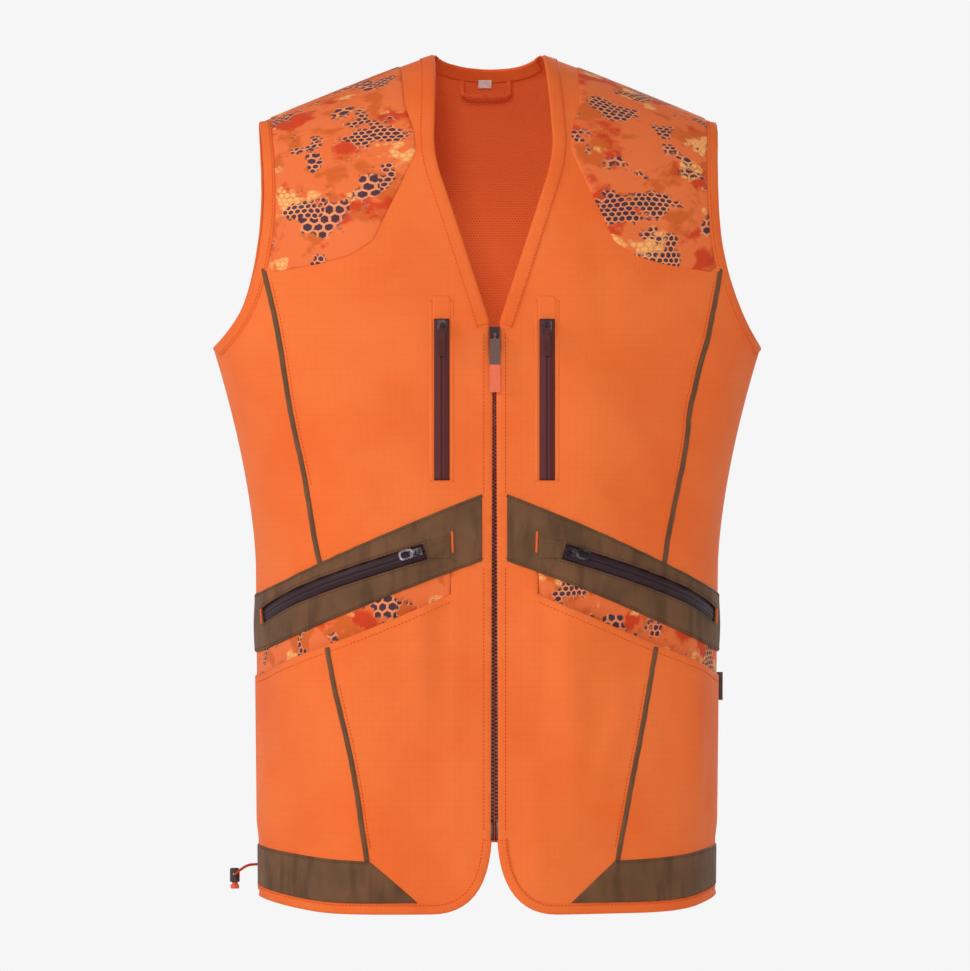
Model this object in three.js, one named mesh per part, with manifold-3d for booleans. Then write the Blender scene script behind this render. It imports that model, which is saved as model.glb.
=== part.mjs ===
// A sleeveless hunting vest in blaze orange, standing open as if worn, zipped up to the V of its neck.
// Millimetres, +Z up, the front faces -Y and +X is the wearer's left.
// Heights are counted from the lowest point of the front hem inside the group "garment",
// which is then lowered so that the origin lies between the two shoulder ridges.

import * as THREE from "three";
import { mergeVertices } from "three/addons/utils/BufferGeometryUtils.js";
import Module from "manifold-3d";

const wasm = await Module();
wasm.setup();

// ---- body ----
const HALF_HEM = 201.5;
const HALF_WAIST = 204.5;
const HALF_CHEST = 242;
const WAIST_Z = 300;
const UNDERARM_Z = 495;
const FLARE_POWER = 1.6; // how late the side opens out between waist and underarm
const FRONT_Y = -115;
const BACK_Y = 115;
const SIDE_Y = 27; // side seam
const RIDGE_Y = 10; // shoulder seam
const FLAT_FRONT = 54; // half width of the flat middle of the front
const FLAT_BACK = 115;
const FRONT_ARCH = 180; // how far below the ridge the cloth starts to lean towards it
const BACK_ARCH = 170;
const NECK_POINT_X = 88;
const NECK_POINT_Z = 740;
const SHOULDER_SLOPE = 0.42;
const SHOULDER_ROUND = 40;
const SHOULDER_HALF = 202;

// ---- cloth ----
const SHELL = 1.5;
const TRIM = 1.0;
const GAP = 0.3; // between pieces that touch
const TRIM_IN = SHELL + GAP; // trims lie on the shell
const TRIM_OUT = TRIM_IN + TRIM;
const LINING = 0.7;

// ---- outlines of the front, x from the middle and z from the hem ----
const SPLIT_Z = 522; // above this the front stays with the shoulders when it is opened
const ZIP_BOTTOM_Z = 64;
const EDGE_BOTTOM_X = 3.2; // placket edge beside the zip's foot
const EDGE_TOP_X = 1.6; // placket edge under the parked slider
const EDGE_SLIDER_X = 4.6; // placket edge beside the parked slider
const NECK_BOTTOM_Z = 515;
const NECK_BEND_Z = 660;
const NECK_HALF = 52.5;
const BACK_NECK_Z = 747;
const BACK_NECK_BAND = 10;
const LOOP_HALF = 23.5; // half width of the hanger loop inside the back neck
const CORNER_X = 55; // width of the rounded corner at the foot of the zip
const HEM_SIDE_RISE = 10;
const BACK_HEM_RISE = 52;
const NECK_BAND = 12;
const ARM_BAND = 9;
const HEM_BAND = 8.5;
const PIPING = 4.4;

// ---- waist and cargo pockets ----
const PANEL_INNER_X = 11;
const PANEL_TOP_INNER_Z = 366;
const PANEL_BOTTOM_INNER_Z = 307.5;
const PANEL_TOP_SIDE_Z = 274;
const PANEL_BOTTOM_SIDE_Z = 222;
const MOUTH_INNER_X = 38;
const MOUTH_INNER_Z = 279;
const MOUTH_SIDE_Z = 205;
const MOUTH_GAPE = 9; // how far the cargo pocket stands open at its mouth
const POCKET_FOOT_Z = 78;
const ZIP_WIDTH = 14;
const ZIP_SLOPE = 47; // fall of the waist zip for each radian round the side
const ZIP_INNER_Z = 318;
const ZIP_TURN = THREE.MathUtils.degToRad(73); // how far round the side the waist zip reaches

// ---- chest pockets ----
const CHEST_ZIP_X = 46;
const CHEST_ZIP_LOW = 378;
const CHEST_ZIP_HIGH = 519;
const CHEST_ZIP_WIDTH = 13.5;

// ---- beyond the cloth ----
const FAR = 300; // past the sides
const ABOVE = 60; // past the shoulder ridge
const BELOW = -30; // past the hem
const SKY = 900;
const ALL_Y = 200;

// ---- sliders ----
const PLATE = 1.8;
const PIN_R = 0.8;
const EYE_CLEAR = 0.45;
const EYE_WALL = 0.95;
const EYE_HALF = 1.2;
const EAR = 0.9;

// ---- looks ----
const ORANGE = { color: 0xee6a2c, roughness: 0.85, metalness: 0 };
const LINING_ORANGE = { color: 0xe0561f, roughness: 0.9, metalness: 0 };
const OLIVE = { color: 0x6b4f3a, roughness: 0.8, metalness: 0 };
const CAMO = { color: 0xc9622c, roughness: 0.8, metalness: 0 };
const DARK_ZIP = { color: 0x3c2a30, roughness: 0.5, metalness: 0 };
const MAROON_ZIP = { color: 0x5c2d2d, roughness: 0.5, metalness: 0 };
const SLIDER_METAL = { color: 0x2a2225, roughness: 0.4, metalness: 0.6 };
const PLASTIC = { color: 0x2b2526, roughness: 0.5, metalness: 0 };
const PULL_ORANGE = { color: 0xd9542a, roughness: 0.6, metalness: 0 };
const WHITE = { color: 0xf2f0ec, roughness: 0.8, metalness: 0 };
const BROWN = { color: 0x4a2c22, roughness: 0.8, metalness: 0 };

const deg = THREE.MathUtils.degToRad;
const v2 = (x, z) => new THREE.Vector2(x, z);
const v3 = (x, y, z) => new THREE.Vector3(x, y, z);

// ---- solids ----

function toSolid(geometry) {
  const bare = new THREE.BufferGeometry();
  bare.setAttribute("position", geometry.getAttribute("position").clone());
  if (geometry.index) bare.setIndex(geometry.index.clone());
  const merged = mergeVertices(bare, 1e-4);
  const vertProperties = new Float32Array(merged.attributes.position.array);
  const triVerts = new Uint32Array(merged.index.array);
  return new wasm.Manifold(new wasm.Mesh({ numProp: 3, vertProperties, triVerts }));
}

function toGeometry(solid) {
  const mesh = solid.getMesh();
  const geometry = new THREE.BufferGeometry();
  geometry.setAttribute("position", new THREE.BufferAttribute(mesh.vertProperties, 3));
  geometry.setIndex(new THREE.BufferAttribute(mesh.triVerts, 1));
  geometry.computeVertexNormals();
  return geometry;
}

const join = (...solids) => solids.reduce((sum, solid) => sum.add(solid));

function block(low, high) {
  const size = high.clone().sub(low);
  const geometry = new THREE.BoxGeometry(size.x, size.y, size.z);
  const middle = low.clone().add(high).multiplyScalar(0.5);
  return toSolid(geometry.translate(middle.x, middle.y, middle.z));
}

// A straight-sided body of outline (x, z), from y = near to y = far.
function prism(outline, near, far) {
  const shape = new THREE.Shape(outline);
  const settings = { depth: far - near, bevelEnabled: false, curveSegments: 6 };
  const geometry = new THREE.ExtrudeGeometry(shape, settings);
  return toSolid(geometry.rotateX(Math.PI / 2).translate(0, far, 0));
}

// A closed body through rings of corners, each ring running the same way round.
function loft(rings) {
  const count = rings[0].length;
  const positions = rings.flat().flatMap((p) => [p.x, p.y, p.z]);
  const index = [];
  for (let i = 0; i < rings.length - 1; i++) {
    for (let k = 0; k < count; k++) {
      const a = i * count + k;
      const b = i * count + ((k + 1) % count);
      index.push(a, b, b + count, a, b + count, a + count);
    }
  }
  const last = (rings.length - 1) * count;
  for (let k = 1; k < count - 1; k++) {
    index.push(0, k + 1, k);
    index.push(last, last + k, last + k + 1);
  }
  const geometry = new THREE.BufferGeometry();
  geometry.setAttribute("position", new THREE.Float32BufferAttribute(positions, 3));
  geometry.setIndex(index);
  return toSolid(geometry);
}

// ---- the body's surface ----

function halfWidth(z) {
  const up = (z - WAIST_Z) / (UNDERARM_Z - WAIST_Z);
  if (up > 0) return HALF_WAIST + (HALF_CHEST - HALF_WAIST) * Math.min(up, 1) ** FLARE_POWER;
  return HALF_HEM + (HALF_WAIST - HALF_HEM) * THREE.MathUtils.clamp(z / WAIST_Z, 0, 1);
}

function ridgeHeight(x) {
  const fall = Math.hypot(x, SHOULDER_ROUND) - Math.hypot(NECK_POINT_X, SHOULDER_ROUND);
  return NECK_POINT_Z - SHOULDER_SLOPE * fall;
}

const FRONT = { y: FRONT_Y, flat: FLAT_FRONT, arch: FRONT_ARCH, seam: -GAP / 2 };
const BACK = { y: BACK_Y, flat: FLAT_BACK, arch: BACK_ARCH, seam: GAP / 2 };

// across: 0 to 1 is the flat middle and 1 to 2 the turn to the side seam, either side of 0.
// up: a height as far as the underarm, then one step to the start of the arch, then degrees of arch.
function bodyPoint(face, across, up) {
  const turn = Math.max(0, Math.abs(across) - 1) * (Math.PI / 2);
  const flat = Math.min(Math.abs(across), 1) * face.flat;
  const reach = (half) => flat + (half - face.flat) * Math.sin(turn);
  const seamY = SIDE_Y + face.seam;
  const y = seamY + (face.y - seamY) * Math.cos(turn);
  const side = Math.sign(across);
  const ridge = ridgeHeight(reach(HALF_CHEST));
  if (up <= UNDERARM_Z) return v3(side * reach(halfWidth(up)), y, up);
  const start = ridge - face.arch;
  const step = up - UNDERARM_Z;
  if (step <= 1) return v3(side * reach(HALF_CHEST), y, UNDERARM_Z + step * (start - UNDERARM_Z));
  const lean = deg(step - 1);
  const ridgeY = RIDGE_Y + face.seam;
  const z = start + face.arch * Math.sin(lean);
  return v3(side * reach(HALF_CHEST), ridgeY + (y - ridgeY) * Math.cos(lean), z);
}

function bodyNormal(face, across, up) {
  const step = 1e-3;
  const du = bodyPoint(face, across + step, up).sub(bodyPoint(face, across - step, up));
  const dv = bodyPoint(face, across, up).sub(bodyPoint(face, across, up - step));
  const normal = du.cross(dv).normalize();
  return face === BACK ? normal.negate() : normal;
}

// The rows of the cloth's grid: heights, then the arch.
const LIFT_FOOT_Z = POCKET_FOOT_Z - 21; // the lower front leaves the body here
const LIFT_HEAD_Z = MOUTH_INNER_Z + 13;
const flareRows = [0.15, 0.36, 0.57, 0.78, 1].map((t) => WAIST_Z + (UNDERARM_Z - WAIST_Z) * t);
const pocketHeight = MOUTH_INNER_Z - POCKET_FOOT_Z;
const pocketRows = [0, 0.2, 0.43, 0.66, 0.86, 1].map((t) => POCKET_FOOT_Z + pocketHeight * t);
const ROWS = [BELOW, LIFT_FOOT_Z, ...pocketRows, LIFT_HEAD_Z, ...flareRows];
ROWS.push(...[0, 13, 26, 39, 52, 65, 78, 90].map((lean) => UNDERARM_Z + 1 + lean));
const TURNS = [1, 2, 3, 4, 5, 6, 7, 8, 9].map((k) => 1 + k / 9);
const LIFT_START_X = MOUTH_INNER_X - 14; // where the lower front leaves the body, beside the pocket
const LIFT_FULL_X = MOUTH_INNER_X - 1;
const FLAT_COLUMNS = [LIFT_START_X / FLAT_FRONT, LIFT_FULL_X / FLAT_FRONT];
const FRONT_COLUMNS = [-0.1, 0.0001, ...FLAT_COLUMNS, 1, ...TURNS];
const LOOP_COLUMN = LOOP_HALF / FLAT_BACK;
const MIDDLE_COLUMNS = [-1, -0.5, -LOOP_COLUMN, 0.0001, LOOP_COLUMN, 0.5, 1];
const BACK_COLUMNS = [...TURNS.map((c) => -c).reverse(), ...MIDDLE_COLUMNS, ...TURNS];

const offsetAt = (offset, point) => (typeof offset === "function" ? offset(point) : offset);

// A layer of cloth between two offsets from the body, cut to an outline (x, z).
function layer(face, outline, inner, outer, pastRidge = false) {
  const columns = face === FRONT ? FRONT_COLUMNS : [...BACK_COLUMNS].reverse();
  const rows = pastRidge ? [...ROWS, ROWS.at(-1) + 0.4] : ROWS;
  const grid = (offset) =>
    columns.map((across) =>
      rows.map((up) => {
        const point = bodyPoint(face, across, up);
        const normal = bodyNormal(face, across, up);
        return point.clone().addScaledVector(normal, offsetAt(offset, point));
      }),
    );
  const low = grid(inner);
  const high = grid(outer);
  const rings = columns.map((_, i) => [...high[i], ...low[i].reverse()]);
  const cloth = sweptSheet(rings, rows.length, columns);
  return face === FRONT
    ? cloth.intersect(prism(outline, FRONT_Y - 60, SIDE_Y + 20))
    : cloth.intersect(prism(outline, RIDGE_Y - 20, BACK_Y + 60));
}

// Rings that are long thin loops: the faces between them, and end caps made of quads across each loop.
// The quads are split alike on both faces of the cloth, and mirrored about its middle.
function sweptSheet(rings, rows, columns) {
  const count = rows * 2;
  const positions = rings.flat().flatMap((p) => [p.x, p.y, p.z]);
  const index = [];
  for (let i = 0; i < rings.length - 1; i++) {
    for (let k = 0; k < count; k++) {
      const a = i * count + k;
      const b = i * count + ((k + 1) % count);
      const rising = k < rows === columns[i] + columns[i + 1] > 0;
      if (rising) index.push(a, b + count, b, a, a + count, b + count);
      else index.push(a, a + count, b, a + count, b + count, b);
    }
  }
  const last = (rings.length - 1) * count;
  for (let k = 0; k < rows - 1; k++) {
    const across = count - 1 - k;
    index.push(k, k + 1, across, k + 1, across - 1, across);
    index.push(last + k, last + across, last + k + 1);
    index.push(last + k + 1, last + across, last + across - 1);
  }
  const geometry = new THREE.BufferGeometry();
  geometry.setAttribute("position", new THREE.Float32BufferAttribute(positions, 3));
  geometry.setIndex(index);
  return toSolid(geometry);
}

// ---- outlines ----

// The points moved sideways, to the left of their direction of travel.
function shifted(points, distance) {
  return points.map((point, i) => {
    const before = points[Math.max(0, i - 1)];
    const after = points[Math.min(points.length - 1, i + 1)];
    const along = after.clone().sub(before).normalize();
    return v2(point.x - along.y * distance, point.y + along.x * distance);
  });
}

const band = (points, from, to) => [...shifted(points, from), ...shifted(points, to).reverse()];


const shoulderTip = v2(SHOULDER_HALF, ridgeHeight(SHOULDER_HALF));
const armholeCurve = new THREE.CubicBezierCurve(
  shoulderTip,
  v2(SHOULDER_HALF - 10, UNDERARM_Z + 105),
  v2(HALF_CHEST - 39, UNDERARM_Z + 40),
  v2(HALF_CHEST, UNDERARM_Z),
);
// From above the ridge down to the underarm and on past the side.
const armhole = [
  v2(SHOULDER_HALF + 2, shoulderTip.y + ABOVE),
  ...armholeCurve.getPoints(12),
  v2(HALF_CHEST + 30, UNDERARM_Z - 22),
];

const neckBend = new THREE.QuadraticBezierCurve(
  v2(NECK_HALF - 7, NECK_BEND_Z - 20),
  v2(NECK_HALF, NECK_BEND_Z),
  v2(NECK_HALF, NECK_BEND_Z + 20),
);
// From the foot of the V up to above the ridge.
const neckline = [
  v2(EDGE_SLIDER_X, NECK_BOTTOM_Z),
  ...neckBend.getPoints(4),
  v2(NECK_HALF - 3, NECK_POINT_Z),
  v2(NECK_HALF - 5, NECK_POINT_Z + ABOVE),
];

const hemCorner = new THREE.QuadraticBezierCurve(
  v2(CORNER_X, 0),
  v2(EDGE_BOTTOM_X + 4, 0),
  v2(EDGE_BOTTOM_X, ZIP_BOTTOM_Z),
);
// From past the side to the foot of the zip.
const frontHem = [
  v2(FAR, HEM_SIDE_RISE + 22),
  v2(HALF_HEM, HEM_SIDE_RISE),
  v2(158, 0),
  ...hemCorner.getPoints(9),
];

const placket = [
  v2(EDGE_TOP_X, NECK_BOTTOM_Z - 37),
  v2(EDGE_SLIDER_X, NECK_BOTTOM_Z - 26),
];

const frontOutline = [...frontHem, ...placket, ...neckline, ...armhole, v2(FAR, UNDERARM_Z - 22)];

const backHem = new THREE.QuadraticBezierCurve(
  v2(FAR, -34),
  v2(0, 2 * BACK_HEM_RISE + 34),
  v2(-FAR, -34),
).getPoints(16);

// The back neckline, left to right, from above one ridge to above the other.
const backNeckCurve = new THREE.CubicBezierCurve(
  v2(-NECK_HALF + 4.5, BACK_NECK_Z + 12),
  v2(-NECK_HALF + 12, BACK_NECK_Z - 6),
  v2(NECK_HALF - 12, BACK_NECK_Z - 6),
  v2(NECK_HALF - 4.5, BACK_NECK_Z + 12),
);
const backNeck = [
  v2(-NECK_HALF + 3, NECK_POINT_Z + ABOVE),
  ...backNeckCurve.getPoints(12),
  v2(NECK_HALF - 3, NECK_POINT_Z + ABOVE),
];

const mirrored = (points) => points.map((p) => v2(-p.x, p.y)).reverse();

const backOutline = [...backHem, ...mirrored(armhole), ...armhole];

// The seam between the middle and side panels of the front, from the armhole to the hem.
const seamCurve = new THREE.QuadraticBezierCurve(
  v2(SHOULDER_HALF - 5, UNDERARM_Z + 55),
  v2(HALF_WAIST - 59.5, WAIST_Z),
  v2(HALF_HEM - 92.5, 45.5),
);
const seam = [v2(SHOULDER_HALF, UNDERARM_Z + ABOVE + 40), ...seamCurve.getPoints(10), v2(100, -ABOVE)];

const panelTop = new THREE.QuadraticBezierCurve(
  v2(PANEL_INNER_X, PANEL_TOP_INNER_Z),
  v2(130, (PANEL_TOP_INNER_Z + PANEL_TOP_SIDE_Z) / 2),
  v2(210, PANEL_TOP_SIDE_Z),
).getPoints(6);
const panelBottom = new THREE.QuadraticBezierCurve(
  v2(PANEL_INNER_X, PANEL_BOTTOM_INNER_Z),
  v2(115, (PANEL_BOTTOM_INNER_Z + PANEL_BOTTOM_SIDE_Z) / 2 + 7),
  v2(210, PANEL_BOTTOM_SIDE_Z),
).getPoints(6);
const panelFar = v2(FAR, PANEL_TOP_SIDE_Z - 20);
const panelFarLow = v2(FAR, PANEL_BOTTOM_SIDE_Z - 20);

// Where the upper and lower fronts meet, hidden behind the waist panel.
const waistLine = panelTop.map((p, i) => p.clone().add(panelBottom[i]).multiplyScalar(0.5));
waistLine.unshift(v2(-20, waistLine[0].y + 8));
waistLine.push(v2(FAR, (panelFar.y + panelFarLow.y) / 2));

function heightOn(line, x) {
  const next = line.findIndex((p) => p.x >= x);
  const [a, b] = [line[next - 1], line[next]];
  return a.y + ((b.y - a.y) * (x - a.x)) / (b.x - a.x);
}

const mouthSlope = (MOUTH_SIDE_Z - MOUTH_INNER_Z) / (HALF_WAIST - MOUTH_INNER_X);
const mouthHeight = (x) => MOUTH_INNER_Z + mouthSlope * (x - MOUTH_INNER_X);

// ---- the cargo pocket's gape ----

const smooth = (from, to, value) => {
  const t = THREE.MathUtils.clamp((value - from) / (to - from), 0, 1);
  return t * t * (3 - 2 * t);
};

// How far the lower front stands off the body: over the pocket's back wall, and more at the mouth.
function pocketLift(point) {
  const x = Math.abs(point.x);
  const inside = smooth(LIFT_START_X, LIFT_FULL_X, x);
  const head = smooth(LIFT_HEAD_Z, MOUTH_INNER_Z, point.z);
  const foot = smooth(LIFT_FOOT_Z, POCKET_FOOT_Z, point.z);
  const across = smooth(MOUTH_INNER_X, MOUTH_INNER_X + 30, x) * smooth(HALF_WAIST, HALF_WAIST - 35, x);
  const depth = smooth(POCKET_FOOT_Z, mouthHeight(x) - 10, point.z);
  return TRIM_IN * inside * head * foot + MOUTH_GAPE * across * depth;
}

const lift = (extra) => (point) => pocketLift(point) + extra;

// ---- pieces of one front, made for the wearer's left ----

const below = (line, gap) => [...line.map((p) => v2(p.x, p.y - gap)), v2(FAR, -FAR), v2(-20, -FAR)];
const above = (line, gap) => [...line.map((p) => v2(p.x, p.y + gap)), v2(FAR, SKY), v2(-20, SKY)];
const cut = (outline) => prism(outline, -ALL_Y, ALL_Y);
const slab = (low, high) => block(v3(-FAR, -ALL_Y, low), v3(FAR, ALL_Y, high));

const half = GAP / 2;
const middleSide = cut([...shifted(seam, -half), v2(-20, -ABOVE), v2(-20, UNDERARM_Z + 100)]);
const outerSide = cut([...shifted(seam, half), v2(FAR, -ABOVE), v2(FAR, UNDERARM_Z + 100)]);
const moving = slab(-FAR, SPLIT_Z - half);
const fixed = slab(SPLIT_Z + half, SKY);

const frontShell = layer(FRONT, frontOutline, 0, SHELL);
const upperShell = frontShell.intersect(moving).intersect(cut(above(waistLine, half)));
const mouthLine = [
  ...waistLine.filter((p) => p.x < MOUTH_INNER_X),
  v2(MOUTH_INNER_X, heightOn(waistLine, MOUTH_INNER_X)),
  v2(MOUTH_INNER_X + 0.01, MOUTH_INNER_Z),
  v2(FAR, mouthHeight(FAR)),
];
const lowerShell = layer(FRONT, frontOutline, lift(0), lift(SHELL)).intersect(cut(below(mouthLine, half)));

const shoulderPanel = () => frontShell.intersect(fixed);
const frontUpperCentre = () => upperShell.intersect(middleSide);
const frontUpperSide = () => upperShell.intersect(outerSide);
const frontLowerCentre = () => lowerShell.intersect(middleSide);
const frontLowerSide = () => lowerShell.intersect(outerSide);

// Seams and trims.
const seamTop = UNDERARM_Z + 25;
const upperPiping = () => {
  const strip = layer(FRONT, band(seam, -PIPING / 2, PIPING / 2), TRIM_IN, TRIM_OUT + 0.4);
  const top = heightOn([...panelTop], seamCurve.getPoint(0.55).x) + 3;
  return strip.intersect(slab(top, Math.min(seamTop, SPLIT_Z - half)));
};
const lowerPiping = () => {
  const width = PIPING * 0.85;
  const strip = layer(FRONT, band(seam, -width / 2, width / 2), lift(TRIM_IN), lift(TRIM_OUT + 0.4));
  const top = mouthHeight(seamCurve.getPoint(0.6).x) - 3;
  return strip.intersect(slab(48, top));
};

function camoPatch() {
  const inner = [
    v2(NECK_HALF + 26, ridgeHeight(NECK_HALF + 26) + 15),
    v2(NECK_HALF + 24.5, 709),
    v2(NECK_HALF + 15, 667),
    v2(81, 637),
    v2(105, 587),
    v2(124, 574),
    v2(150, 567),
    v2(192, 560),
  ];
  const edge = shifted(armhole, -ARM_BAND - GAP).filter((p) => p.y > 560);
  const patch = layer(FRONT, [...inner, ...edge.reverse()], TRIM_IN, TRIM_OUT);
  return patch.intersect(fixed);
}

const neckBinding = () => layer(FRONT, band(neckline, 0, -NECK_BAND), TRIM_IN, TRIM_OUT).intersect(fixed);

function armholeBinding() {
  const outline = band(armhole, 0, -ARM_BAND);
  const front = layer(FRONT, outline, TRIM_IN, TRIM_OUT, true).intersect(fixed);
  const back = layer(BACK, outline, TRIM_IN, TRIM_OUT, true);
  return front.add(back);
}

const frontHemBand = () => layer(FRONT, band(frontHem, 0, -HEM_BAND), TRIM_IN, TRIM_OUT);

function hemCornerPanel() {
  const foot = shifted(frontHem, -HEM_BAND - 0.5).filter((p) => p.x > 66);
  const outline = [v2(HALF_HEM - 94.5, 45.5), v2(175, 47), v2(FAR, 86), ...foot];
  return layer(FRONT, outline, TRIM_IN, TRIM_OUT);
}

// Waist zip: its path lies on a tilted circle, so that its slider can turn about one axis.
function waistPath(turn) {
  const across = 1 + turn / (Math.PI / 2);
  return bodyPoint(FRONT, across, ZIP_INNER_Z - ZIP_SLOPE * turn);
}

function circleThrough(a, b, c) {
  const ab = b.clone().sub(a);
  const ac = c.clone().sub(a);
  const axis = ab.clone().cross(ac);
  const toB = axis.clone().cross(ab).multiplyScalar(ac.lengthSq());
  const toC = ac.clone().cross(axis).multiplyScalar(ab.lengthSq());
  const centre = toB.add(toC).divideScalar(2 * axis.lengthSq()).add(a);
  return { centre, axis: axis.normalize(), radius: centre.distanceTo(a) };
}

const arc = circleThrough(waistPath(0), waistPath(ZIP_TURN / 2), waistPath(ZIP_TURN));
const arcStart = waistPath(0).sub(arc.centre).normalize();
const arcSide = arc.axis.clone().cross(arcStart);

// The slider's frame at an angle round the circle: the point on the body, outwards and along the zip.
function arcFrame(angle) {
  const out = arcStart.clone().multiplyScalar(Math.cos(angle)).addScaledVector(arcSide, Math.sin(angle));
  const along = arc.axis.clone().cross(out);
  return { point: arc.centre.clone().addScaledVector(out, arc.radius), out, along };
}

const WAIST_ZIP_OUT = TRIM_OUT;
const ZIP_STEPS = 16;
const ZIP_START = 0.035; // share of the path before the zip begins
const zipShare = (i) => ZIP_START + ((1 - ZIP_START) * i) / ZIP_STEPS;

// A point of the zip, which lies on the body: share of its length, sideways and out of the cloth.
function zipCorner(share, sideways, outwards) {
  const turn = ZIP_TURN * share;
  const point = waistPath(turn);
  const out = bodyNormal(FRONT, 1 + turn / (Math.PI / 2), point.z);
  const along = waistPath(turn + 1e-3).sub(waistPath(turn - 1e-3)).normalize();
  const across = out.clone().cross(along);
  return point.addScaledVector(across, sideways).addScaledVector(out, outwards);
}

function waistZip() {
  const rings = [];
  for (let i = 0; i <= ZIP_STEPS; i++) {
    const share = zipShare(i);
    rings.push([
      zipCorner(share, -ZIP_WIDTH / 2, TRIM_IN + GAP),
      zipCorner(share, ZIP_WIDTH / 2, TRIM_IN + GAP),
      zipCorner(share, ZIP_WIDTH / 2, WAIST_ZIP_OUT),
      zipCorner(share, -ZIP_WIDTH / 2, WAIST_ZIP_OUT),
    ]);
  }
  return loft(rings);
}

function waistPocketPanel() {
  const outline = [...panelTop, panelFar, panelFarLow, ...[...panelBottom].reverse()];
  const top = [];
  const bottom = [];
  for (let i = -0.2; i <= ZIP_STEPS + 0.6; i += 0.5) {
    const reach = ZIP_WIDTH / 2 + 2 * GAP;
    const high = zipCorner(zipShare(i), reach, TRIM_OUT);
    const low = zipCorner(zipShare(i), -reach, TRIM_IN);
    top.push(v2(high.x, high.z));
    bottom.push(v2(low.x, low.z));
  }
  return layer(FRONT, outline, TRIM_IN, TRIM_OUT).subtract(cut([...top, ...bottom.reverse()]));
}

function cargoPocketFacing() {
  const top = waistLine.filter((p) => p.x > MOUTH_INNER_X + GAP).map((p) => v2(p.x, p.y - half));
  const inner = MOUTH_INNER_X + GAP;
  const first = v2(inner, heightOn(waistLine, inner) - half);
  return layer(FRONT, [first, ...top, v2(FAR, POCKET_FOOT_Z), v2(inner, POCKET_FOOT_Z)], 0, SHELL);
}

const rectangle = (x0, z0, x1, z1) => [v2(x0, z0), v2(x1, z0), v2(x1, z1), v2(x0, z1)];

const chestPocketBag = () =>
  layer(FRONT, rectangle(24, CHEST_ZIP_LOW - 10, 108, SPLIT_Z - 4), -GAP - LINING, -GAP);

function waistPocketBag() {
  const [inner, outer] = [28, 188];
  const top = [v2(inner, heightOn(waistLine, inner)), v2(outer, heightOn(waistLine, outer))];
  const foot = POCKET_FOOT_Z + 72;
  return layer(FRONT, [...top, v2(outer, foot), v2(inner, foot)], -GAP - LINING, -GAP);
}

const chestZip = () =>
  block(
    v3(CHEST_ZIP_X - CHEST_ZIP_WIDTH / 2, FRONT_Y - TRIM_OUT, CHEST_ZIP_LOW),
    v3(CHEST_ZIP_X + CHEST_ZIP_WIDTH / 2, FRONT_Y - TRIM_IN, CHEST_ZIP_HIGH),
  );

// ---- main zip ----
const TAPE_Y = FRONT_Y + 1.0; // front of the tape, behind the placket
const TAPE = 0.8;
const ROW_INNER_X = 0.7; // the two rows of teeth leave a slot for the slider's neck
const ROW_OUTER_X = 2.9;
const ROW_Y = FRONT_Y + GAP;
const ROW_DEPTH = 2.2;
const SLIDER_LOW = 493;
const SLIDER_LENGTH = 19;

function mainZipTape() {
  const top = SLIDER_LOW + SLIDER_LENGTH - 2;
  const tape = block(v3(ROW_OUTER_X - 0.4, TAPE_Y, ZIP_BOTTOM_Z), v3(16, TAPE_Y + TAPE, top));
  const row = block(
    v3(ROW_INNER_X, ROW_Y, ZIP_BOTTOM_Z + 2),
    v3(ROW_OUTER_X, ROW_Y + ROW_DEPTH, SLIDER_LOW - 2),
  );
  const foot = block(
    v3(ROW_INNER_X - 0.2, ROW_Y - 1.2, ZIP_BOTTOM_Z + 1),
    v3(ROW_OUTER_X - 0.2, ROW_Y + ROW_DEPTH + 0.2, ZIP_BOTTOM_Z + 16),
  );
  return join(tape, row, foot);
}

// ---- sliders and pulls: +Z is towards the closed end of the zip, -Y is out of the cloth ----

function barAlongX(radius, length, y, z) {
  const geometry = new THREE.CylinderGeometry(radius, radius, length, 10);
  return toSolid(geometry.rotateZ(Math.PI / 2).translate(0, y, z));
}

const earInner = EYE_HALF + GAP;

// A plate on the zip with two ears that hold the pull's pin, pinOut away from the zip.
function sliderBody(width, length, pinOut) {
  const plate = block(v3(-width / 2, -PLATE, 0), v3(width / 2, 0, length));
  const pinZ = length * 0.62;
  const ears = [-1, 1].map((side) => {
    const near = side * earInner;
    const far = side * (earInner + EAR);
    const low = v3(Math.min(near, far), -pinOut - PIN_R - 0.5, pinZ - 1.3);
    return block(low, v3(Math.max(near, far), -PLATE + 0.1, pinZ + 1.3));
  });
  const pin = barAlongX(PIN_R, 2 * (earInner + EAR) - 0.4, -pinOut, pinZ);
  return join(plate, ...ears, pin);
}

// The ring round the slider's pin, with the neck that carries the tab.
function pullEye() {
  const inner = PIN_R + EYE_CLEAR;
  const outer = inner + EYE_WALL;
  const ring = new THREE.Shape();
  ring.absarc(0, 0, outer, 0, Math.PI * 2);
  const hole = new THREE.Path();
  hole.absarc(0, 0, inner, 0, Math.PI * 2);
  ring.holes.push(hole);
  const settings = { depth: 2 * EYE_HALF, bevelEnabled: false, curveSegments: 8 };
  const geometry = new THREE.ExtrudeGeometry(ring, settings).rotateY(Math.PI / 2);
  const neck = block(v3(-EYE_HALF, -0.8, -outer - 1.6), v3(EYE_HALF, 0.8, -outer + 0.3));
  return toSolid(geometry.translate(-EYE_HALF, 0, 0)).add(neck);
}

const tabTop = -(PIN_R + EYE_CLEAR + EYE_WALL + 1.2);

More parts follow.
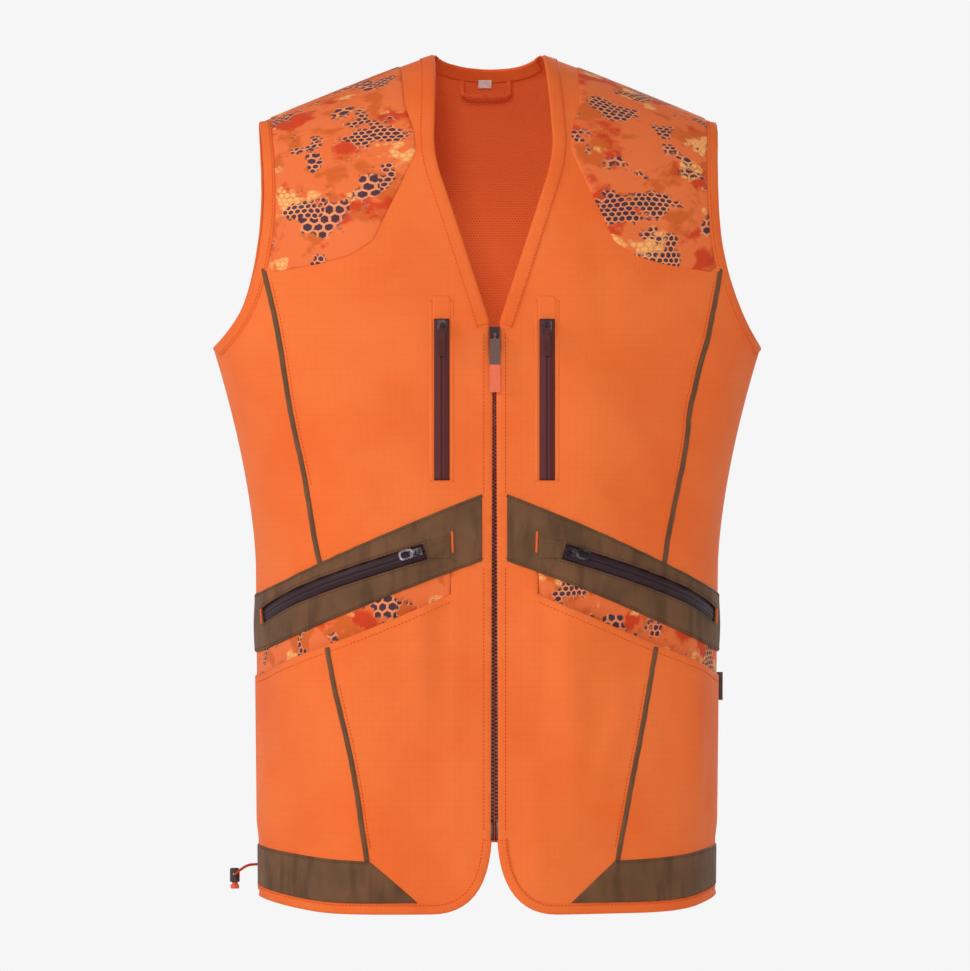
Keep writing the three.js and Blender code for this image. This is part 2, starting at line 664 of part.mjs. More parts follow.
function roundedRectangle(width, low, high, radius) {
  const x = width / 2;
  const shape = new THREE.Shape();
  shape.moveTo(-x + radius, low);
  shape.lineTo(x - radius, low);
  shape.quadraticCurveTo(x, low, x, low + radius);
  shape.lineTo(x, high - radius);
  shape.quadraticCurveTo(x, high, x - radius, high);
  shape.lineTo(-x + radius, high);
  shape.quadraticCurveTo(-x, high, -x, high - radius);
  shape.lineTo(-x, low + radius);
  shape.quadraticCurveTo(-x, low, -x + radius, low);
  return shape.getPoints(3);
}

function tabPull(width, length, thickness) {
  const tab = prism(roundedRectangle(width, -length, tabTop, 1.4), -thickness / 2, thickness / 2);
  return pullEye().add(tab);
}

function ringPull(width, length, thickness) {
  const outside = roundedRectangle(width, tabTop - length, tabTop, width * 0.45);
  const wall = 1.9;
  const inside = roundedRectangle(width - 2 * wall, tabTop - length + wall, tabTop - wall, width * 0.25);
  const ring = prism(outside, -thickness / 2, thickness / 2);
  return pullEye().add(ring.subtract(prism(inside, -thickness, thickness)));
}

// ---- hem cord and its lock: exit at the origin, -X out of the cloth and +Y along the hem ----
const CORD_R = 1.2;
const LOCK_R = 4.5;
const LOCK_X = -21;
const LOCK_Y = 16;
const LOCK_Z = -9;
const LOCK_UP = 5;
const LOCK_DOWN = 7.5;
const BUTTON_TRAVEL = 2;
const STEM_R = 2.5;

const CORD_ROUTE = [
  v3(0, 0, 0),
  v3(-4, 0, 0),
  v3(-10, -1, -1),
  v3(-16.5, -0.5, -5),
  v3(-20.5, 4, LOCK_Z + 0.3),
  v3(LOCK_X, 9, LOCK_Z),
  v3(LOCK_X, 16, LOCK_Z),
  v3(LOCK_X, 23, LOCK_Z),
  v3(-20.5, 27.5, -11),
  v3(-19.5, 30, -16),
  v3(-19, 31, -22),
];

function hemCord() {
  const section = new THREE.Shape();
  section.absarc(0, 0, CORD_R, 0, Math.PI * 2);
  const path = new THREE.CatmullRomCurve3(CORD_ROUTE, false, "centripetal");
  const settings = { steps: 24, extrudePath: path, curveSegments: 4, bevelEnabled: false };
  const tube = toSolid(new THREE.ExtrudeGeometry(section, settings));
  const end = CORD_ROUTE.at(-1);
  const knot = new THREE.SphereGeometry(CORD_R * 1.9, 8, 6).translate(end.x, end.y, end.z);
  return tube.add(toSolid(knot));
}

const lathed = (profile) => {
  const geometry = new THREE.LatheGeometry(profile.map(([r, z]) => v2(r, z)), 14);
  return toSolid(geometry.rotateX(Math.PI / 2).translate(LOCK_X, LOCK_Y, LOCK_Z));
};

// The barrel, bored for the cord, with a socket below for the button's stem.
function cordLockBody() {
  const socketTop = -CORD_R - 1.6;
  const socket = STEM_R + 0.4;
  const barrel = lathed([
    [0, LOCK_UP],
    [LOCK_R - 1, LOCK_UP],
    [LOCK_R, LOCK_UP - 1],
    [LOCK_R, -LOCK_DOWN + 0.6],
    [LOCK_R - 0.6, -LOCK_DOWN],
    [socket, -LOCK_DOWN],
    [socket, socketTop],
    [0, socketTop],
  ].reverse());
  const bore = new THREE.CylinderGeometry(CORD_R + 0.5, CORD_R + 0.5, 4 * LOCK_R, 10);
  return barrel.subtract(toSolid(bore.translate(LOCK_X, LOCK_Y, LOCK_Z)));
}

function cordLockButton() {
  const capTop = -LOCK_DOWN - BUTTON_TRAVEL - GAP;
  return lathed([
    [0, -LOCK_DOWN + 1.2],
    [STEM_R, -LOCK_DOWN + 1.2],
    [STEM_R, capTop],
    [LOCK_R - 0.5, capTop],
    [LOCK_R - 0.5, capTop - 2.5],
    [LOCK_R - 1.5, capTop - 3.6],
    [0, capTop - 3.6],
  ].reverse());
}

// ---- back ----

const neckCut = cut([...backNeck, v2(0, SKY)]);
const backPanel = () => layer(BACK, backOutline, 0, SHELL).subtract(neckCut);
const backHemBand = () => layer(BACK, band(backHem, 0, -HEM_BAND), TRIM_IN, TRIM_OUT);

function backNeckBand() {
  return layer(BACK, band(backNeck, -0.3, -BACK_NECK_BAND), -GAP - TRIM, -GAP);
}

const LABEL_Z = 735;

function neckLabel() {
  const inner = -2 * GAP - TRIM;
  return layer(BACK, rectangle(-6, LABEL_Z - 3.5, 6, LABEL_Z + 3.5), inner - 0.6, inner);
}

// Flat tape bent to a U, hanging from the neck seam inside the back.
const LOOP_DROP = 16;
const LOOP_TAPE = 5;
const LOOP_THICK = 1.2;
const LOOP_SEAT_Z = 738.5;
const loopRise = (LOOP_SEAT_Z - ridgeHeight(LOOP_HALF)) / BACK_ARCH + 1;
const loopRow = UNDERARM_Z + 1 + THREE.MathUtils.radToDeg(Math.asin(loopRise));
const loopTop = bodyPoint(BACK, LOOP_COLUMN, loopRow).addScaledVector(
  bodyNormal(BACK, LOOP_COLUMN, loopRow),
  -(TRIM + 4 * GAP + LOOP_THICK / 2),
);

function hangerLoop() {
  const foot = loopTop.z - LOOP_DROP;
  const outside = roundedRectangle(2 * LOOP_HALF, foot, loopTop.z + 4, 4);
  const inner = LOOP_HALF - LOOP_TAPE;
  const inside = rectangle(-inner, foot + LOOP_TAPE, inner, loopTop.z + ABOVE);
  const loop = prism(outside, loopTop.y - LOOP_THICK / 2, loopTop.y + LOOP_THICK / 2);
  return loop.subtract(cut(inside)).intersect(slab(0, loopTop.z));
}

function sideLabel() {
  const x = halfWidth(195);
  return block(v3(x + SHELL + GAP, SIDE_Y + 0.3, 182), v3(x + SHELL + GAP + 5.5, SIDE_Y + 1.2, 207));
}

// ---- assembly ----

const vest = new THREE.Group();
const garment = new THREE.Group();
garment.position.set(0, -RIDGE_Y, -NECK_POINT_Z);
vest.add(garment);

function place(parent, name, solid, look) {
  const mesh = new THREE.Mesh(toGeometry(solid), new THREE.MeshStandardMaterial(look));
  mesh.name = name;
  parent.add(mesh);
  return mesh;
}

place(garment, "back_panel", backPanel(), ORANGE);
place(garment, "back_hem_band", backHemBand(), ORANGE);
place(garment, "back_neck_band", backNeckBand(), LINING_ORANGE);
place(garment, "neck_label", neckLabel(), WHITE);
place(garment, "hanger_loop", hangerLoop(), LINING_ORANGE);
place(garment, "side_label", sideLabel(), BROWN);

const FRONT_PIECES = [
  ["shoulder_panel", shoulderPanel(), ORANGE],
  ["camo_shoulder_patch", camoPatch(), CAMO],
  ["neck_binding", neckBinding(), ORANGE],
  ["armhole_binding", armholeBinding(), ORANGE],
  ["front_upper_centre", frontUpperCentre(), ORANGE],
  ["front_upper_side", frontUpperSide(), ORANGE],
  ["front_lower_centre", frontLowerCentre(), ORANGE],
  ["front_lower_side", frontLowerSide(), ORANGE],
  ["upper_piping", upperPiping(), OLIVE],
  ["lower_piping", lowerPiping(), OLIVE],
  ["hem_corner_panel", hemCornerPanel(), OLIVE],
  ["front_hem_band", frontHemBand(), ORANGE],
  ["waist_pocket_panel", waistPocketPanel(), OLIVE],
  ["waist_zip", waistZip(), DARK_ZIP],
  ["waist_pocket_bag", waistPocketBag(), LINING_ORANGE],
  ["cargo_pocket_facing", cargoPocketFacing(), CAMO],
  ["chest_zip", chestZip(), MAROON_ZIP],
  ["chest_pocket_bag", chestPocketBag(), LINING_ORANGE],
  ["main_zip_tape", mainZipTape(), DARK_ZIP],
];

const CHEST_SLIDER = { width: 8, length: 12, pinOut: 4.8 };
const WAIST_SLIDER = { width: 7, length: 11, pinOut: 4.6 };
const WAIST_SLIDER_CLEAR = 1.0; // it tips a little against the cloth on its way round
const MAIN_SLIDER = { width: 8.6, length: SLIDER_LENGTH, pinOut: 5.9 };
const PIN_AT = 0.62; // share of a slider's length at which its pin stands

// A slider and its pull at rest, in a group whose +Z runs to the closed end of the zip.
function placeSlider(parent, names, sizes, pull, extra = []) {
  const body = join(sliderBody(sizes.width, sizes.length, sizes.pinOut), ...extra);
  place(parent, names[0], body, SLIDER_METAL);
  const mesh = place(parent, names[1], pull, PULL_ORANGE);
  mesh.position.set(0, -sizes.pinOut, sizes.length * PIN_AT);
}

function waistSliderFrame() {
  const at = arcFrame(WAIST_SLIDER.length / arc.radius + ZIP_START * ZIP_TURN + 0.01);
  const origin = at.point.clone().addScaledVector(at.out, WAIST_ZIP_OUT + WAIST_SLIDER_CLEAR);
  const up = at.along.clone().negate();
  const inwards = at.out.clone().negate();
  const matrix = new THREE.Matrix4().makeBasis(inwards.clone().cross(up), inwards, up);
  return matrix.setPosition(origin);
}

for (const side of ["left", "right"]) {
  const halfVest = new THREE.Group();
  halfVest.scale.x = side === "left" ? 1 : -1;
  garment.add(halfVest);
  for (const [name, solid, look] of FRONT_PIECES) place(halfVest, `${name}_${side}`, solid, look);

  const chest = new THREE.Group();
  chest.position.set(CHEST_ZIP_X, FRONT_Y - TRIM_OUT - GAP, CHEST_ZIP_HIGH - 1 - CHEST_SLIDER.length);
  halfVest.add(chest);
  placeSlider(chest, [`chest_slider_${side}`, `chest_pull_${side}`], CHEST_SLIDER, tabPull(5.6, 27, 1.6));

  const waist = new THREE.Group();
  waist.applyMatrix4(waistSliderFrame());
  halfVest.add(waist);
  placeSlider(waist, [`waist_slider_${side}`, `waist_pull_${side}`], WAIST_SLIDER, ringPull(9, 13, 1.6));
}

// The main slider grips both rows: a neck through the slot joins its front and back plates.
const mainSlider = new THREE.Group();
const SLIDER_Y = FRONT_Y - SHELL - 2 * GAP;
mainSlider.position.set(0, SLIDER_Y, SLIDER_LOW);
garment.add(mainSlider);
const rowBack = ROW_Y + ROW_DEPTH - SLIDER_Y;
const neck = block(v3(-0.4, -0.5, 4), v3(0.4, rowBack + 0.7, SLIDER_LENGTH - 3));
const backPlate = block(v3(-2.5, rowBack + 0.5, 2), v3(2.5, rowBack + 1.9, SLIDER_LENGTH - 1));
const mainPull = tabPull(9.4, 50, 1.8);
placeSlider(mainSlider, ["main_slider", "main_pull"], MAIN_SLIDER, mainPull, [neck, backPlate]);

// The hem cord leaves the channel at the right side seam, and further round the back on the left.
const CORD_EXIT_Z = 36;
const CORD_EXITS = [
  { side: "right", across: -1.96, turn: 0 },
  { side: "left", across: 1.5, turn: deg(45) },
];
for (const { side, across, turn } of CORD_EXITS) {
  const start = bodyPoint(BACK, across, CORD_EXIT_Z);
  const out = bodyNormal(BACK, across, CORD_EXIT_Z);
  start.addScaledVector(out, SHELL + GAP);
  const hem = new THREE.Group();
  hem.position.copy(start);
  hem.rotation.z = turn;
  hem.scale.x = side === "left" ? -1 : 1;
  garment.add(hem);
  place(hem, `hem_cord_${side}`, hemCord(), PULL_ORANGE);
  place(hem, `cord_lock_body_${side}`, cordLockBody(), PLASTIC);
  place(hem, `cord_lock_button_${side}`, cordLockButton(), PULL_ORANGE);
}

// The lines that moving pieces turn about, in the garment's own heights.
vest.userData = { arc, zipTurn: ZIP_TURN, waistSlider: waistSliderFrame().elements, loopTop };

export default vest;
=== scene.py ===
"""A blaze orange hunting vest in cloth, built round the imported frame.

Outlines are in millimetres: x from the middle of the garment and z above the lowest point of the front hem.
Each is laid on the garment's body surface, which is the frame's own, and then moved into the frame in metres.
"""

import math

import bpy
import numpy as np
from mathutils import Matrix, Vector
from mathutils.geometry import delaunay_2d_cdt


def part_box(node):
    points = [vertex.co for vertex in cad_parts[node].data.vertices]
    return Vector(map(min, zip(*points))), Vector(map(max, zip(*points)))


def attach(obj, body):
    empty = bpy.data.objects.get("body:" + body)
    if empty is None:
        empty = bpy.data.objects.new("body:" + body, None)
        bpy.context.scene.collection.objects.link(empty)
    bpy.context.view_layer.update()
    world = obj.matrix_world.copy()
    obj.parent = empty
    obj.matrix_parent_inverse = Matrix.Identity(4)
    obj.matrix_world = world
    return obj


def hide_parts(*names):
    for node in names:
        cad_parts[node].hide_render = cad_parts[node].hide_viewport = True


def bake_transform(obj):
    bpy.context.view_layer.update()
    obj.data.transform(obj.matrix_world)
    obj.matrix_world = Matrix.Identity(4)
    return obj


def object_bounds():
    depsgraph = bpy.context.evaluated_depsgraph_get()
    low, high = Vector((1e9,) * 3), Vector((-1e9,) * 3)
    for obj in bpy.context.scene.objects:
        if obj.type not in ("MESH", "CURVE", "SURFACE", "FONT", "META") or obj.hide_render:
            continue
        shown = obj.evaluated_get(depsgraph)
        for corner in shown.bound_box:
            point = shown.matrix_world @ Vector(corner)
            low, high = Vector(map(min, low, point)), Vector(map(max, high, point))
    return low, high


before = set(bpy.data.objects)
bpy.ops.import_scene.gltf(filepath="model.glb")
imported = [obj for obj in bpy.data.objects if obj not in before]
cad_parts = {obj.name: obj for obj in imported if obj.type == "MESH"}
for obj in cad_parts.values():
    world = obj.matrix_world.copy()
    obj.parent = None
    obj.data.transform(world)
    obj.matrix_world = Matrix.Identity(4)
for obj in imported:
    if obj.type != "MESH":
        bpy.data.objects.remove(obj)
cad_low, cad_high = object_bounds()

# ---- the garment's body surface, as in the frame ----
MM = 0.001
RIDGE_Y = 10  # shoulder seam
NECK_POINT = (88, 740)
HALF_HEM, HALF_WAIST, HALF_CHEST = 201.5, 204.5, 242
WAIST_Z, UNDERARM_Z = 300, 495
FLARE_POWER = 1.6
SHOULDER_SLOPE, SHOULDER_ROUND, SHOULDER_HALF = 0.42, 40, 202
SIDE_Y = 27
GAP = 0.3
SHELL = 1.5
TRIM_IN, TRIM_OUT = 1.65, 2.7
FRONT = {"y": -115, "flat": 54, "arch": 180, "seam": -GAP / 2, "radius": 150}
BACK = {"y": 115, "flat": 115, "arch": 170, "seam": GAP / 2, "radius": 100}


def half_width(z):
    up = np.clip((z - WAIST_Z) / (UNDERARM_Z - WAIST_Z), 0, 1)
    low = HALF_HEM + (HALF_WAIST - HALF_HEM) * np.clip(z / WAIST_Z, 0, 1)
    return low + (HALF_CHEST - HALF_WAIST) * up**FLARE_POWER


def ridge_height(x):
    fall = np.hypot(x, SHOULDER_ROUND) - math.hypot(NECK_POINT[0], SHOULDER_ROUND)
    return NECK_POINT[1] - SHOULDER_SLOPE * fall


def surface(face, s, v):
    """The point of the body at s round it and v up it, where both are lengths along the cloth."""
    turn = np.clip((np.abs(s) - face["flat"]) / face["radius"], 0, math.pi / 2)
    half = half_width(np.minimum(v, UNDERARM_Z))
    x = np.sign(s) * (np.minimum(np.abs(s), face["flat"]) + (half - face["flat"]) * np.sin(turn))
    seam_y = SIDE_Y + face["seam"]
    ridge_y = RIDGE_Y + face["seam"]
    y = seam_y + (face["y"] - seam_y) * np.cos(turn)
    start = ridge_height(x) - face["arch"]
    lean = np.clip((v - start) / face["arch"], 0, math.pi / 2)
    z = np.where(v > start, start + face["arch"] * np.sin(lean), v)
    return np.stack([x, ridge_y + (y - ridge_y) * np.cos(lean), z], -1)


def unit(vectors):
    return vectors / np.maximum(np.linalg.norm(vectors, axis=-1, keepdims=True), 1e-9)


def surface_normal(face, s, v):
    step = 0.5
    ds = surface(face, s, v) - surface(face, s - step, v)
    dv = surface(face, s, v) - surface(face, s, v - step)
    n = unit(np.cross(ds, dv))
    return n if face is FRONT else -n


def flat_points(face, outline):
    """Outline points (x, z) as (s, v) on the cloth."""
    x, z = np.array(outline, float).T
    half = half_width(np.minimum(z, UNDERARM_Z))
    reach = np.clip((np.abs(x) - face["flat"]) / (half - face["flat"]), 0, 1)
    s = np.sign(x) * np.where(reach > 0, face["flat"] + face["radius"] * np.arcsin(reach), np.abs(x))
    start = ridge_height(x) - face["arch"]
    rise = np.clip((z - start) / face["arch"], 0, 1)
    v = np.where(z > start, start + face["arch"] * np.arcsin(rise), z)
    return np.stack([s, v], -1)


def to_frame(points):
    return (np.asarray(points, float) - (0, RIDGE_Y, NECK_POINT[1])) * MM


# ---- curves ----
def bezier(*controls, count=12):
    """Points of a Bezier curve through 3 or 4 control points."""
    points = [np.array(c, float) for c in controls]
    out = []
    for t in np.linspace(0, 1, count + 1):
        level = points
        while len(level) > 1:
            level = [a + (b - a) * t for a, b in zip(level, level[1:])]
        out.append(tuple(level[0]))
    return out


def finer(points, step, closed=False):
    """The same line with no stretch longer than step."""
    points = [np.array(p, float) for p in points]
    ends = points[1:] + points[:1] if closed else points[1:]
    out = []
    for a, b in zip(points, ends):
        count = max(1, math.ceil(np.linalg.norm(b - a) / step))
        out += [a + (b - a) * k / count for k in range(count)]
    return out if closed else out + [points[-1]]


def shifted(points, distance):
    """The line moved sideways, to the left of its direction."""
    p = np.array(points, float)
    along = unit(np.gradient(p, axis=0))
    return [tuple(q) for q in p + np.stack([-along[:, 1], along[:, 0]], 1) * distance]


def band(points, a, b):
    return shifted(points, a) + shifted(points, b)[::-1]


def height_on(line, x):
    xs, zs = zip(*sorted(line))
    return float(np.interp(x, xs, zs))


def smooth(a, b, value):
    t = np.clip((value - a) / (b - a), 0, 1)
    return t * t * (3 - 2 * t)


# ---- outlines of the wearer's left half ----
EDGE_BOTTOM_X, EDGE_TOP_X, EDGE_SLIDER_X = 3.2, 1.6, 4.6
ZIP_BOTTOM_Z, NECK_BOTTOM_Z = 64, 515
NECK_HALF, NECK_BEND_Z = 52.5, 660
CORNER_X = 55
HEM_SIDE_RISE, BACK_HEM_RISE = 10, 52
NECK_BAND, ARM_BAND, HEM_BAND = 12, 9, 8.5
MOUTH_INNER = (38, 279)
MOUTH_SIDE = (204.5, 205)
MOUTH_GAPE = 9
POCKET_FOOT_Z = 78

armhole = bezier(
    (SHOULDER_HALF, float(ridge_height(SHOULDER_HALF))),
    (SHOULDER_HALF - 10, UNDERARM_Z + 105),
    (HALF_CHEST - 39, UNDERARM_Z + 40),
    (HALF_CHEST, UNDERARM_Z),
    count=30,
)
neck_bend = bezier(
    (NECK_HALF - 7, NECK_BEND_Z - 20), (NECK_HALF, NECK_BEND_Z), (NECK_HALF, NECK_BEND_Z + 20)
)
neckline = [(EDGE_SLIDER_X, NECK_BOTTOM_Z), *neck_bend, (NECK_HALF - 3, NECK_POINT[1])]
neckline.append((NECK_HALF - 3.8, float(ridge_height(NECK_HALF - 3.8))))
hem_corner = bezier((CORNER_X, 0), (EDGE_BOTTOM_X + 4, 0), (EDGE_BOTTOM_X, ZIP_BOTTOM_Z))
front_hem = [*bezier((HALF_HEM, HEM_SIDE_RISE), (180, 3), (160, 0), (125, 0)), *hem_corner]
placket = [(EDGE_BOTTOM_X, ZIP_BOTTOM_Z), (EDGE_TOP_X, 478), (EDGE_SLIDER_X, 489)]
ridge_line = [(x, float(ridge_height(x))) for x in np.linspace(NECK_HALF - 3.8, SHOULDER_HALF, 24)]


def side_line(top, low):
    return [(float(half_width(z)), z) for z in np.linspace(top, low, 24)]


seam = bezier(
    (SHOULDER_HALF - 5, UNDERARM_Z + 55), (HALF_WAIST - 59.5, WAIST_Z), (HALF_HEM - 92.5, 45.5), count=40
)
panel_top = bezier((11, 366), (130, 320), (210, 274))
panel_bottom = bezier((11, 307.5), (115, 271.75), (210, 222))
waist_line = [((a[0] + b[0]) / 2, (a[1] + b[1]) / 2) for a, b in zip(panel_top, panel_bottom)]
mouth_slope = (MOUTH_SIDE[1] - MOUTH_INNER[1]) / (MOUTH_SIDE[0] - MOUTH_INNER[0])


def mouth_height(x):
    return MOUTH_INNER[1] + mouth_slope * (x - MOUTH_INNER[0])


def upto_side(line):
    """The line cut off at the side seam."""
    kept = [p for p in line if p[0] < half_width(p[1]) - 1]
    z = height_on(line, float(half_width(kept[-1][1])))
    return kept + [(float(half_width(z)), z)]


waist_line = upto_side(waist_line)
mouth_line = [MOUTH_INNER, (90, mouth_height(90)), (150, mouth_height(150)), MOUTH_SIDE]


def pocket_lift(x, z):
    """How far the lower front stands off the body, over the pocket."""
    inside = smooth(MOUTH_INNER[0] - 14, MOUTH_INNER[0] - 1, x)
    head = smooth(MOUTH_INNER[1] + 13, MOUTH_INNER[1], z)
    foot = smooth(POCKET_FOOT_Z - 21, POCKET_FOOT_Z, z)
    across = smooth(MOUTH_INNER[0], MOUTH_INNER[0] + 30, x) * smooth(HALF_WAIST, HALF_WAIST - 35, x)
    depth = smooth(POCKET_FOOT_Z, mouth_height(x) - 10, z)
    below = smooth(mouth_height(x) + 14, mouth_height(x) + 4, z)
    return (TRIM_IN * inside * head * foot + MOUTH_GAPE * across * depth) * below


CHEST_ZIP_X, CHEST_ZIP_LOW, CHEST_ZIP_HIGH, CHEST_ZIP_WIDTH = 46, 378, 519, 13.5
ZIP_WIDTH, ZIP_SLOPE, ZIP_INNER_Z = 14, 47, 318
ZIP_TURN = math.radians(73)


def waist_zip_line(first=0.0, count=40):
    """The waist zip's middle line as (s, v)."""
    turn = ZIP_TURN * np.linspace(first, 1.0, count)
    return np.stack([FRONT["flat"] + FRONT["radius"] * turn, ZIP_INNER_Z - ZIP_SLOPE * turn], -1)


# ---- folds of the cloth, which every layer follows ----
def distance_to(s, v, line):
    """Distance from each point to a polyline of (s, v)."""
    best = np.full(s.shape, 1e9)
    for (ax, ay), (bx, by) in zip(line, line[1:]):
        dx, dy = bx - ax, by - ay
        t = np.clip(((s - ax) * dx + (v - ay) * dy) / max(dx * dx + dy * dy, 1e-9), 0, 1)
        best = np.minimum(best, np.hypot(s - ax - t * dx, v - ay - t * dy))
    return best


seam_flat = flat_points(FRONT, seam)
TAUT_LINES = [
    [(0, 40), (0, 530)],
    [(CHEST_ZIP_X, CHEST_ZIP_LOW - 8), (CHEST_ZIP_X, CHEST_ZIP_HIGH + 8)],
    [tuple(p) for p in waist_zip_line(count=8)],
]


# Each crease on a front runs between two points of (s, v), and is this wide and high in millimetres.
CREASES = {
    1: [
        ((150, 520), (225, 440), 11, 2.6), ((120, 470), (205, 415), 12, -2.0), ((95, 440), (160, 352), 10, 1.8),
        ((70, 372), (120, 345), 7, 1.4), ((160, 650), (118, 560), 12, 1.8), ((75, 600), (92, 500), 11, -1.6),
        ((185, 190), (212, 70), 11, 2.4), ((150, 170), (168, 62), 12, -2.0), ((60, 230), (78, 96), 12, 1.9),
        ((28, 225), (40, 120), 9, -1.4), ((110, 210), (96, 110), 11, 1.6), ((225, 330), (262, 400), 12, 2.0),
    ],
    -1: [
        ((140, 505), (230, 452), 11, 2.4), ((130, 452), (212, 400), 11, -2.2), ((85, 425), (140, 356), 9, 1.7),
        ((66, 380), (104, 350), 7, 1.5), ((150, 655), (124, 552), 12, 1.6), ((88, 590), (76, 480), 12, 1.5),
        ((196, 200), (222, 80), 11, 2.6), ((158, 180), (160, 70), 12, -1.8), ((48, 238), (70, 120), 11, 2.0),
        ((80, 190), (92, 80), 10, -1.6), ((118, 200), (128, 96), 11, 1.8), ((222, 340), (255, 410), 12, 2.2),
    ],
}


def creased(side, a, v):
    total = np.zeros(len(a))
    for (s0, v0), (s1, v1), width, high in CREASES[side]:
        along, length = np.array([s1 - s0, v1 - v0]), math.hypot(s1 - s0, v1 - v0)
        along = along / length
        t = ((a - s0) * along[0] + (v - v0) * along[1]) / length
        off = (a - s0) * along[1] - (v - v0) * along[0] + 4 * np.sin(t * 5)
        total += high * np.exp(-((off / width) ** 2)) * smooth(-0.25, 0.3, t) * smooth(1.25, 0.7, t)
    return total


def relief(face, side, s, v):
    """Shallow folds in millimetres. They die away at the seams, the zips and the shoulder."""
    p = surface(face, s, v)
    a = s * side
    top = ridge_height(p[:, 0]) + (math.pi / 2 - 1) * face["arch"]
    quiet = smooth(0, 70, top - v)
    quiet = quiet * smooth(face["flat"] + face["radius"] * math.pi / 2, face["flat"] + 70, np.abs(s))
    hang = smooth(520, 60, v)
    phase = 0.4 if face is FRONT else 2.1
    drape = (1.3 + 2.6 * hang) * np.sin(a / 27 + 0.9 * np.sin(v / 105 + a / 160) + phase)
    cross = 2.1 * np.sin((v + 0.55 * a) / 24 + 1.2 * np.sin(a / 60)) * smooth(300, 420, v) * smooth(640, 520, v)
    low = 1.7 * np.sin((v - 0.4 * a) / 31 + 1.1 * np.sin(a / 45 + v / 80)) * smooth(320, 240, v)
    fine = 0.22 * np.sin(a / 6.1 + 2 * np.sin(v / 19)) * np.sin(v / 7.3 + 1.7 * np.sin(a / 23))
    total = drape + cross + low + fine
    if face is FRONT:
        total = total + creased(side, a, v)
        for line in TAUT_LINES:
            total = total * (0.06 + 0.94 * smooth(7, 44, distance_to(s, v, line)))
        near = distance_to(s, v, seam_flat[::5])
        total = total + 0.22 * np.exp(-near / 7) * np.sin(v / 2.9 + 1.5 * np.sin(v / 17))
    return total * quiet


# ---- meshes ----
def faces_outward(points, faces):
    """The faces, all turned round if the closed mesh they make is inside out."""
    p = np.asarray(points, float)
    fans = np.array([(f[0], f[k], f[k + 1]) for f in faces for k in range(1, len(f) - 1)])
    volume = (p[fans[:, 0]] * np.cross(p[fans[:, 1]], p[fans[:, 2]])).sum()
    return faces if volume > 0 else [tuple(f)[::-1] for f in faces]


def new_object(name, vertices, faces, materials, flat=None, face_materials=None):
    mesh = bpy.data.meshes.new(name)
    faces = faces_outward(vertices, faces)
    mesh.from_pydata([tuple(p) for p in vertices], [], faces)
    for m in materials:
        mesh.materials.append(m)
    if face_materials is not None:
        mesh.polygons.foreach_set("material_index", np.array(face_materials, np.int32))
    mesh.polygons.foreach_set("use_smooth", [True] * len(mesh.polygons))
    if flat is not None:
        attribute = mesh.attributes.new("cloth", "FLOAT_VECTOR", "POINT")
        attribute.data.foreach_set("vector", np.array(flat, np.float32).ravel())
    mesh.update()
    obj = bpy.data.objects.new(name, mesh)
    bpy.context.scene.collection.objects.link(obj)
    return obj


def inside_of(points, polygon):
    """Which points lie inside a polygon, all (s, v)."""
    x, y = points[:, 0][:, None], points[:, 1][:, None]
    ax, ay = polygon[:, 0], polygon[:, 1]
    bx, by = np.roll(ax, -1), np.roll(ay, -1)
    rise = np.where(by == ay, 1e-12, by - ay)
    crossing = ((ay > y) != (by > y)) & (x < (bx - ax) * (y - ay) / rise + ax)
    return crossing.sum(1) % 2 == 1


ROW_SHARE = 0.866  # of the spacing, between the rows of a triangular grid
GRID_CLEAR, RING_CLEAR = 0.35, 0.8  # of the spacing and of the rim, kept free of points at the edge


def triangulated(outline, hole, spacing, rim):
    """Triangles of a flat cut, with a ring of points just inside its edge."""
    loops = [outline] + ([hole] if hole is not None else [])
    points, edges = [], []
    for loop in loops:
        first = len(points)
        points += [tuple(p) for p in loop]
        edges += [(first + k, first + (k + 1) % len(loop)) for k in range(len(loop))]
    low, high = outline.min(0), outline.max(0)
    grid = []
    for j, v in enumerate(np.arange(low[1], high[1], spacing * ROW_SHARE)):
        grid += [(s, v) for s in np.arange(low[0] + (j % 2) * spacing / 2, high[0], spacing)]
    grid = np.array(grid).reshape(-1, 2)

    def clearance(p):
        """Distance from each point to the nearest edge of the cut."""
        return np.min([distance_to(*p.T, [*map(tuple, loop), tuple(loop[0])]) for loop in loops], axis=0)

    keep = inside_of(grid, outline) & (clearance(grid) > rim + spacing * GRID_CLEAR)
    ring = []
    for loop in loops:
        closed = np.vstack([loop[-1:], loop, loop[:1]])
        along = unit(closed[2:] - closed[:-2])
        for way in (rim, -rim):
            ring.append(loop + np.stack([-along[:, 1], along[:, 0]], 1) * way)
    ring = np.vstack(ring)
    ring = ring[inside_of(ring, outline) & (clearance(ring) > rim * RING_CLEAR)]
    everything = [Vector(p) for p in (*points, *ring, *grid[keep])]
    verts, _, faces, *_ = delaunay_2d_cdt(everything, edges, [], 0, 1e-4)
    verts = np.array([tuple(p) for p in verts])
    faces = np.array([tuple(f) for f in faces if len(f) == 3])
    middle = verts[faces].mean(1)
    good = inside_of(middle, outline)
    if hole is not None:
        good &= ~inside_of(middle, hole)
    return verts, faces[good]


def rim_of(verts, faces):
    """The edges round a flat triangulation, each in the way of its face, and which points they touch."""
    directed = [e for a, b, c in faces.tolist() for e in ((a, b), (b, c), (c, a))]
    known = set(directed)
    rim = [e for e in directed if e[::-1] not in known]
    edge = np.zeros(len(verts), bool)
    edge[[p for e in rim for p in e]] = True
    return rim, edge


